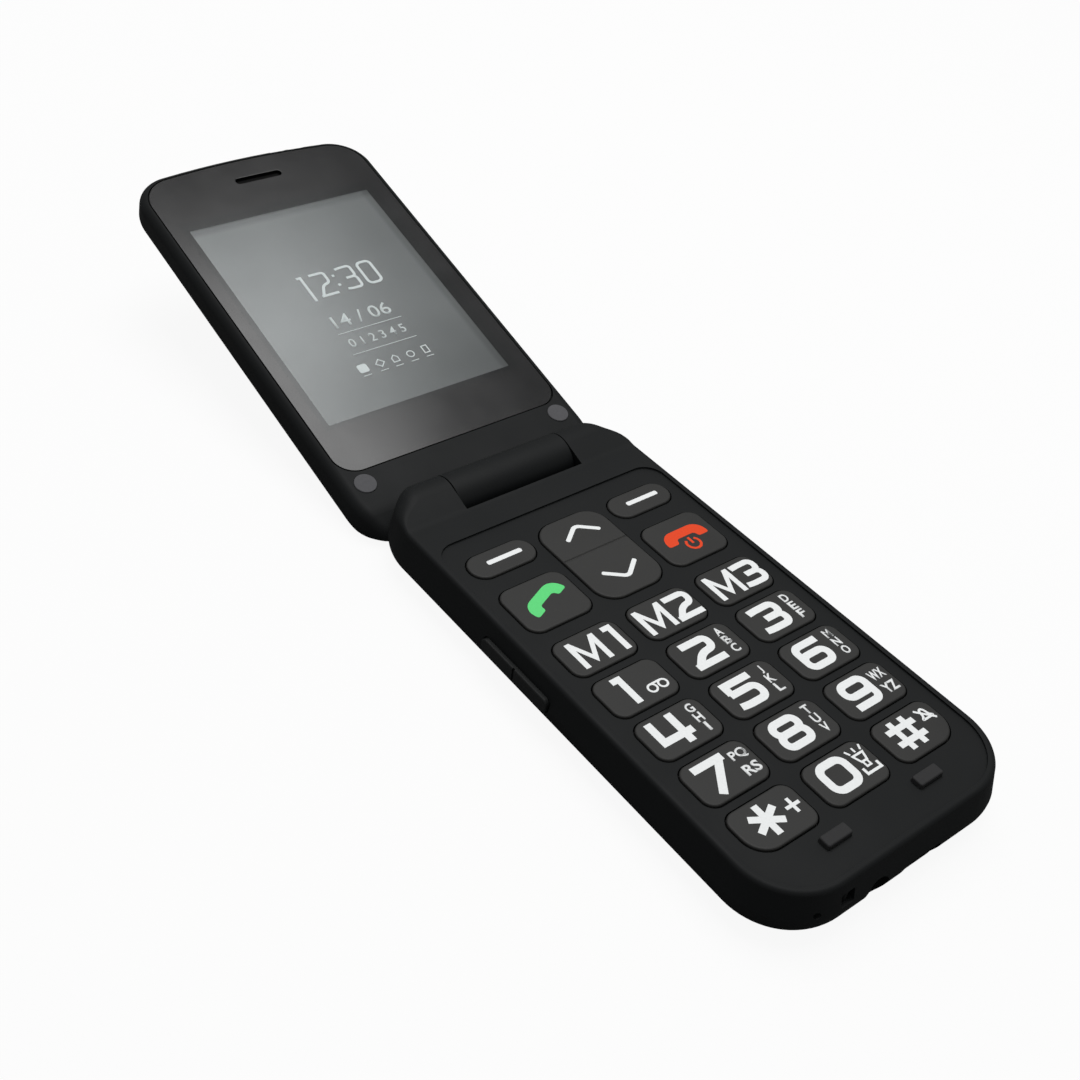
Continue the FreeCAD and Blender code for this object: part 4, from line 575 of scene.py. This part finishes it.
NUMERALS = {
    "0": [([(-SIDE, TALL), (SIDE, TALL), (SIDE, BASE), (-SIDE, BASE)], True, 1.5)],
    "1": [([(-0.95, 2.55), (0.55, 2.55), (0.55, -3.15)], False, 0.0)],
    "2": [([(-2.9, TALL), (SIDE, TALL), (SIDE, 0.1), (-0.3, -0.25), (-SIDE, BASE)], False, 1.0),
          ([(-3.2, BASE), (3.3, BASE)], False, 0.0)],
    "3": [([(-SIDE - 0.5, TALL - 0.15), (-1.6, TALL), (SIDE, TALL), (SIDE, 0.0), (-1.1, 0.0)],
           False, 1.1),
          ([(-1.1, 0.0), (SIDE, 0.0), (SIDE, BASE), (-1.9, BASE), (-SIDE - 0.5, BASE + 0.2)],
           False, 1.1)],
    "4": [([(-2.6, 3.2), (-2.6, -1.25), (3.3, -1.25)], False, 0.0),
          ([(1.55, 3.2), (1.55, -3.25)], False, 0.0)],
    "5": [([(2.9, TALL), (-2.6, TALL), (-2.6, 0.55)], False, 0.0),
          ([(-3.0, 0.45), (SIDE, 0.45), (SIDE, BASE), (-1.9, BASE), (-SIDE - 0.5, BASE + 0.25)],
           False, 1.25)],
    "6": [([(2.9, TALL), (-SIDE, TALL), (-SIDE, -1.0)], False, 1.2),
          ([(-SIDE, 0.3), (SIDE, 0.3), (SIDE, BASE), (-SIDE, BASE)], True, 1.25)],
    "7": [([(-3.1, TALL), (3.15, TALL)], False, 0.0), ([(2.35, TALL), (-1.75, -3.2)], False, 0.0)],
    "8": [([(-SIDE + 0.1, TALL), (SIDE - 0.1, TALL), (SIDE - 0.1, 0.05), (-SIDE + 0.1, 0.05)],
           True, 1.15),
          ([(-SIDE, 0.05), (SIDE, 0.05), (SIDE, BASE), (-SIDE, BASE)], True, 1.15)],
    "9": [([(-2.9, BASE), (SIDE, BASE), (SIDE, 1.0)], False, 1.2),
          ([(-SIDE, TALL), (SIDE, TALL), (SIDE, -0.3), (-SIDE, -0.3)], True, 1.25)],
}


def numeral(shape, which, x=0.0, y=0.0, narrow=1.0, width=NUMERAL):
    """A squarish numeral with rounded bends, drawn with strokes."""
    for points, closed, soft in NUMERALS[which]:
        placed = [(x + px * narrow, y + py) for px, py in points]
        stroke(shape, placed, width, closed=closed, soft=soft)


def capital_m(shape, x):
    """The large M of the memory keys."""
    stroke(shape, [(x - 2.45, -3.1), (x - 2.45, 3.05)], 1.02)
    stroke(shape, [(x + 2.45, -3.1), (x + 2.45, 3.05)], 1.02)
    stroke(shape, [(x - 2.35, 2.8), (x, -1.9), (x + 2.35, 2.8)], 0.85)


def handset(shape):
    """A telephone receiver lying face down."""
    right = [(2.05, -0.45, 0.5), (2.45, -1.65, 0.35), (4.75, -1.65, 0.5), (4.6, 1.68, 2.4)]
    left = [(-x, y, soft) for x, y, soft in reversed(right)]
    sheet(shape, right + left)


# Key prints, each in millimetres from its key's centre

LETTERS_X = 4.3
NUMERAL_X = -1.28
TWO_LINE_WEIGHT = 0.028


def number_key(which, letter_lines, stacked=True):
    """A numeral on the left with its letters on the right, one below the other or in two lines."""
    shape = bmesh.new()
    numeral(shape, which, NUMERAL_X, 0.15)
    for row, line in enumerate(letter_lines):
        if stacked:
            letters(shape, line, LETTERS_X, 2.3 - 2.16 * row, 0.55 if line in "IJ" else 1.45, 1.9)
        else:
            letters(shape, line, LETTERS_X, 1.5 - 3.15 * row, 3.15, 2.1, weight=TWO_LINE_WEIGHT)
    return shape


def dress_soft_key():
    """A short bar."""
    shape = bmesh.new()
    stroke(shape, [(-3.0, 0.12), (4.4, 0.12)], 1.02, ends=0.35)
    return shape


def dress_nav():
    """An arrowhead at either end of the rocker."""
    shape = bmesh.new()
    stroke(shape, [(-3.2, 5.2), (0.55, 8.05), (4.3, 5.1)], 0.85, soft=0.9, ends=0.3)
    stroke(shape, [(-3.3, -4.45), (0.5, -7.45), (4.25, -4.5)], 0.85, soft=0.9, ends=0.3)
    return shape


def dress_memory(number, m_place, number_place):
    """A capital M with the memory's number beside it."""
    shape = bmesh.new()
    capital_m(shape, m_place)
    if number == "1":
        numeral(shape, "1", number_place - 0.1, 0.05, width=1.12)
    else:
        numeral(shape, number, number_place, 0.0, narrow=0.84, width=1.22)
    return shape


def dress_one():
    """The 1 and the sign for voice messages: two rings joined by a bar on top."""
    shape = bmesh.new()
    numeral(shape, "1", -2.0, 0.2, width=1.25)
    reel, line = 0.82, 0.38
    middle = -1.6
    ring(shape, 2.2, middle, reel, line)
    ring(shape, 4.4, middle, reel, line)
    stroke(shape, [(2.2, middle + reel), (4.4, middle + reel)], line)
    return shape


def dress_star():
    """Three crossed strokes, and a small plus."""
    shape = bmesh.new()
    middle_x, middle_y, arm = -0.9, 0.3, 2.95
    for angle in (90, 30, 150):
        x = math.cos(math.radians(angle)) * arm
        y = math.sin(math.radians(angle)) * arm
        stroke(shape, [(middle_x - x, middle_y - y), (middle_x + x, middle_y + y)], 1.22)
    stroke(shape, [(2.95, 0.15), (5.75, 0.15)], 0.62)
    stroke(shape, [(4.35, -1.3), (4.35, 1.6)], 0.62)
    return shape


def dress_zero():
    """The 0 and the torch sign: three rays, the torch's head and handle, and a bracket."""
    shape = bmesh.new()
    numeral(shape, "0", NUMERAL_X, 0.28)
    for x, lean in ((3.2, -0.45), (4.35, 0.0), (5.5, 0.45)):
        stroke(shape, [(x, 2.05), (x + lean, 3.0)], 0.36)
    stroke(shape, [(3.25, 1.6), (5.45, 1.6), (4.95, 0.1), (3.75, 0.1)], 0.4, closed=True)
    stroke(shape, [(3.9, 0.1), (3.9, -0.95), (4.8, -0.95), (4.8, 0.1)], 0.36)
    stroke(shape, [(2.85, -0.9), (2.85, -2.1), (5.9, -2.1), (5.9, -0.9)], 0.5)
    return shape


def dress_hash():
    """The hash and the silent sign: a bell with a line through it."""
    shape = bmesh.new()
    for y in (1.65, -1.05):
        stroke(shape, [(-4.5, y), (1.85, y)], 1.15)
    for x in (-2.6, 0.0):
        stroke(shape, [(x, -2.75), (x, 3.3)], 1.15)
    bell = [(3.05, 0.55), (3.7, 1.1), (3.9, 2.2), (4.35, 2.6), (4.8, 2.2), (5.0, 1.1), (5.6, 0.55)]
    stroke(shape, bell, 0.42, closed=True, soft=0.25)
    stroke(shape, [(3.0, 2.75), (5.7, -0.1)], 0.42)
    return shape


def dress_call():
    """The receiver, tilted."""
    shape = bmesh.new()
    handset(shape)
    turn = Matrix.Translation((0.1, 0.6, 0.0)) @ Matrix.Rotation(math.radians(24), 4, "Z")
    bmesh.ops.transform(shape, matrix=turn, verts=shape.verts)
    return shape


def dress_end():
    """The receiver laid down, and below it the sign for on and off: an open ring with a bar."""
    shape = bmesh.new()
    handset(shape)
    bmesh.ops.translate(shape, vec=(0.45, 0.75, 0.0), verts=shape.verts)
    x, y, radius, line = 0.5, -1.95, 1.42, 0.5
    angles = [50, 25, *range(0, -181, -30), -205, -230]
    turn = [(x + radius * math.cos(math.radians(a)), y + radius * math.sin(math.radians(a)))
            for a in angles]
    stroke(shape, turn, line)
    stroke(shape, [(x, -0.25), (x, y)], line)
    return shape


def print_on(key, shape, x, y, ink=print_white):
    """Prints the drawn shape on a key."""
    piece("print_" + key, shape, on_key(x, y), key, ink)


print_on("soft_key_left", dress_soft_key(), KEY_COLUMNS[0], SOFT_ROW)
print_on("soft_key_right", dress_soft_key(), KEY_COLUMNS[2], SOFT_ROW)
print_on("nav_rocker", dress_nav(), KEY_COLUMNS[1], NAV_ROW)
print_on("call_key", dress_call(), KEY_COLUMNS[0], CALL_ROW, print_green)
print_on("end_key", dress_end(), KEY_COLUMNS[2], CALL_ROW, print_red)
print_on("memory_key_1", dress_memory("1", -1.28, 4.45), KEY_COLUMNS[0], MEMORY_ROW)
print_on("memory_key_2", dress_memory("2", -2.79, 3.45), KEY_COLUMNS[1], MEMORY_ROW)
print_on("memory_key_3", dress_memory("3", -2.45, 3.65), KEY_COLUMNS[2], MEMORY_ROW)
print_on("key_1", dress_one(), KEY_COLUMNS[0], NUMBER_ROWS[0])
print_on("key_2", number_key("2", "ABC"), KEY_COLUMNS[1], NUMBER_ROWS[0])
print_on("key_3", number_key("3", "DEF"), KEY_COLUMNS[2], NUMBER_ROWS[0])
print_on("key_4", number_key("4", "GHI"), KEY_COLUMNS[0], NUMBER_ROWS[1])
print_on("key_5", number_key("5", "JKL"), KEY_COLUMNS[1], NUMBER_ROWS[1])
print_on("key_6", number_key("6", "MNO"), KEY_COLUMNS[2], NUMBER_ROWS[1])
print_on("key_7", number_key("7", ("PQ", "RS"), stacked=False), KEY_COLUMNS[0], NUMBER_ROWS[2])
print_on("key_8", number_key("8", "TUV"), KEY_COLUMNS[1], NUMBER_ROWS[2])
print_on("key_9", number_key("9", ("WX", "YZ"), stacked=False), KEY_COLUMNS[2], NUMBER_ROWS[2])
print_on("key_star", dress_star(), KEY_COLUMNS[0], NUMBER_ROWS[3])
print_on("key_0", dress_zero(), KEY_COLUMNS[1], NUMBER_ROWS[3])
print_on("key_hash", dress_hash(), KEY_COLUMNS[2], NUMBER_ROWS[3])


# The black mask printed under the lid's pane, open at the display and at the earpiece

MASK_HALF = 25.7
MASK_START = 15.2
MASK_END = 100.2
EAR_HALF = 5.7
EAR_START = 94.25
EAR_END = 96.35
MASK_THICKNESS = 0.02
MASK_GAP = 0.06
PICTURE_GAP = 0.01


def dress_mask():
    """The mask, across the lid and along it from the hinge."""
    shape = bmesh.new()
    half = DISPLAY_WIDTH / 2
    sheet(shape, rectangle(-MASK_HALF, MASK_START, MASK_HALF, MASK_END, 4.6, 7.2),
          rectangle(-half, DISPLAY_START, half, DISPLAY_END, 0.3),
          rectangle(-EAR_HALF, EAR_START, EAR_HALF, EAR_END, 0.9), thickness=MASK_THICKNESS)
    return shape


piece("display_mask", dress_mask(), on_lid(0.0, 0.0, LENS_UNDERSIDE + MASK_GAP), "lid",
      black_ink)


# What the lit display shows: the time, a date in numbers and a row of plain signs

SCREEN_WEIGHT = 0.004
TIME_Y = 34.5
TIME_SQUEEZE = 0.62
TIME_STRETCH = 1.25
TIME_LINE = 0.62
SIGN_LINE = 0.22


def dress_screen():
    """The display's picture, across it and up from its lower edge."""
    shape = bmesh.new()
    for which, x in (("1", -7.0), ("2", -2.9), ("3", 3.4), ("0", 8.3)):
        for points, closed, soft in NUMERALS[which]:
            placed = [(x + px * TIME_SQUEEZE, TIME_Y + py * TIME_STRETCH) for px, py in points]
            stroke(shape, placed, TIME_LINE, closed=closed, soft=soft * 0.7)
    for y in (33.2, 36.0):
        stroke(shape, [(0.0, y), (0.6, y)], 0.6)
    letters(shape, "14 / 06", 0.0, 23.9, 13.6, 3.4, weight=SCREEN_WEIGHT)
    for y in (20.6, 14.6):
        stroke(shape, [(-7.5, y), (7.8, y)], 0.14)
    letters(shape, "0 1 2 3 4 5", 0.1, 17.6, 13.4, 2.3, weight=SCREEN_WEIGHT)
    sheet(shape, rectangle(-8.6, 9.6, -6.4, 11.8, 0.5))
    stroke(shape, [(-3.5, 9.7), (-2.5, 10.7), (-3.5, 11.7), (-4.5, 10.7)], SIGN_LINE, closed=True)
    stroke(shape, [(-0.6, 9.8), (0.8, 9.8), (0.8, 10.9), (0.1, 11.6), (-0.6, 10.9)], SIGN_LINE,
           closed=True)
    ring(shape, 3.8, 10.6, 0.8, SIGN_LINE)
    stroke(shape, [(6.9, 9.7), (8.1, 9.7), (8.1, 11.6), (6.9, 11.6)], SIGN_LINE, closed=True)
    for x in (-7.5, -3.5, 0.1, 3.8, 7.5):
        stroke(shape, [(x - 0.9, 8.7), (x + 0.9, 8.7)], 0.16)
    return shape


piece("display_picture", dress_screen(), on_lid(0.0, DISPLAY_START, PANEL_TOP + PICTURE_GAP), "lid",
      screen_white)


# Camera, lamp, table and background

ROOM_LIGHT = 0.31
TABLE_WHITE = 0.92
TABLE_BOUNCE = 0.15
TABLE_RADIUS = 4.0


def place_camera():
    """The photograph's viewpoint, solved from the phone's own corners and key centres."""
    lens = bpy.data.cameras.new("photo_camera")
    lens.sensor_width = 36.0
    lens.lens = 46.31145
    lens.clip_start = 0.01
    lens.clip_end = 20.0
    camera = bpy.data.objects.new("photo_camera", lens)
    bpy.context.scene.collection.objects.link(camera)
    right = Vector((0.7874749974, -0.6076174079, 0.1033644720))
    down = Vector((-0.3335667296, -0.5611676973, -0.7575117507))
    forward = Vector((0.5182821291, 0.5620426150, -0.6445864826))
    turn = Matrix((right, -down, -forward)).transposed().to_4x4()
    spot = Vector((-0.1352927302, -0.1100142489, 0.1701553888))
    camera.matrix_world = Matrix.Translation(spot) @ turn
    bpy.context.scene.camera = camera


def place_lamp(name, spot, width, depth, power):
    """A soft box that shines straight down."""
    light = bpy.data.lights.new(name, "AREA")
    light.shape = "RECTANGLE"
    light.size = width
    light.size_y = depth
    light.energy = power
    lamp = bpy.data.objects.new(name, light)
    bpy.context.scene.collection.objects.link(lamp)
    lamp.location = spot


def light_room():
    """White to the eye, softer as a lamp."""
    world = bpy.data.worlds.new("studio")
    bpy.context.scene.world = world
    world.use_nodes = True
    tree = world.node_tree
    background = tree.nodes["Background"]
    background.inputs["Color"].default_value = (1.0, 1.0, 1.0, 1.0)
    seen = add(tree, "LightPath").outputs["Is Camera Ray"]
    tree.links.new(between(tree, seen, 0.0, 1.0, ROOM_LIGHT, 1.0), background.inputs["Strength"])


def lay_floor():
    """A white table top, paler to the eye than to the phone, so its shadow stays slight."""
    material, tree, shader = finish("white_table", (0.80, 0.80, 0.80), 0.6, specular=0.2)
    mottle = cloud(tree, 40.0, 2.0)
    tree.links.new(mixed(tree, between(tree, mottle, 0.3, 0.7, 0.0, 1.0), (0.80, 0.80, 0.80),
                         (0.82, 0.82, 0.82)), shader.inputs["Base Color"])
    bright = add(tree, "Emission", {"Color": (1.0, 1.0, 1.0, 1.0), "Strength": 1.0}).outputs[0]
    seen = add(tree, "MixShader", {0: TABLE_WHITE, 1: shader.outputs[0], 2: bright}).outputs[0]
    bounced = add(tree, "BsdfDiffuse", {"Color": (*[TABLE_BOUNCE] * 3, 1.0)}).outputs[0]
    path = add(tree, "LightPath").outputs["Is Camera Ray"]
    both = add(tree, "MixShader", {0: path, 1: bounced, 2: seen}).outputs[0]
    tree.links.new(both, tree.nodes["Material Output"].inputs["Surface"])
    shape = bmesh.new()
    bmesh.ops.create_circle(shape, cap_ends=True, radius=TABLE_RADIUS, segments=64)
    mesh = bpy.data.meshes.new("white_table")
    shape.to_mesh(mesh)
    shape.free()
    mesh.materials.append(material)
    table = bpy.data.objects.new("white_table", mesh)
    bpy.context.scene.collection.objects.link(table)


place_camera()
place_lamp("overhead_soft_box", (0.142, 0.18, 0.70), 0.46, 0.61, 3.85)
light_room()
lay_floor()
bpy.context.scene.view_settings.view_transform = "Standard"
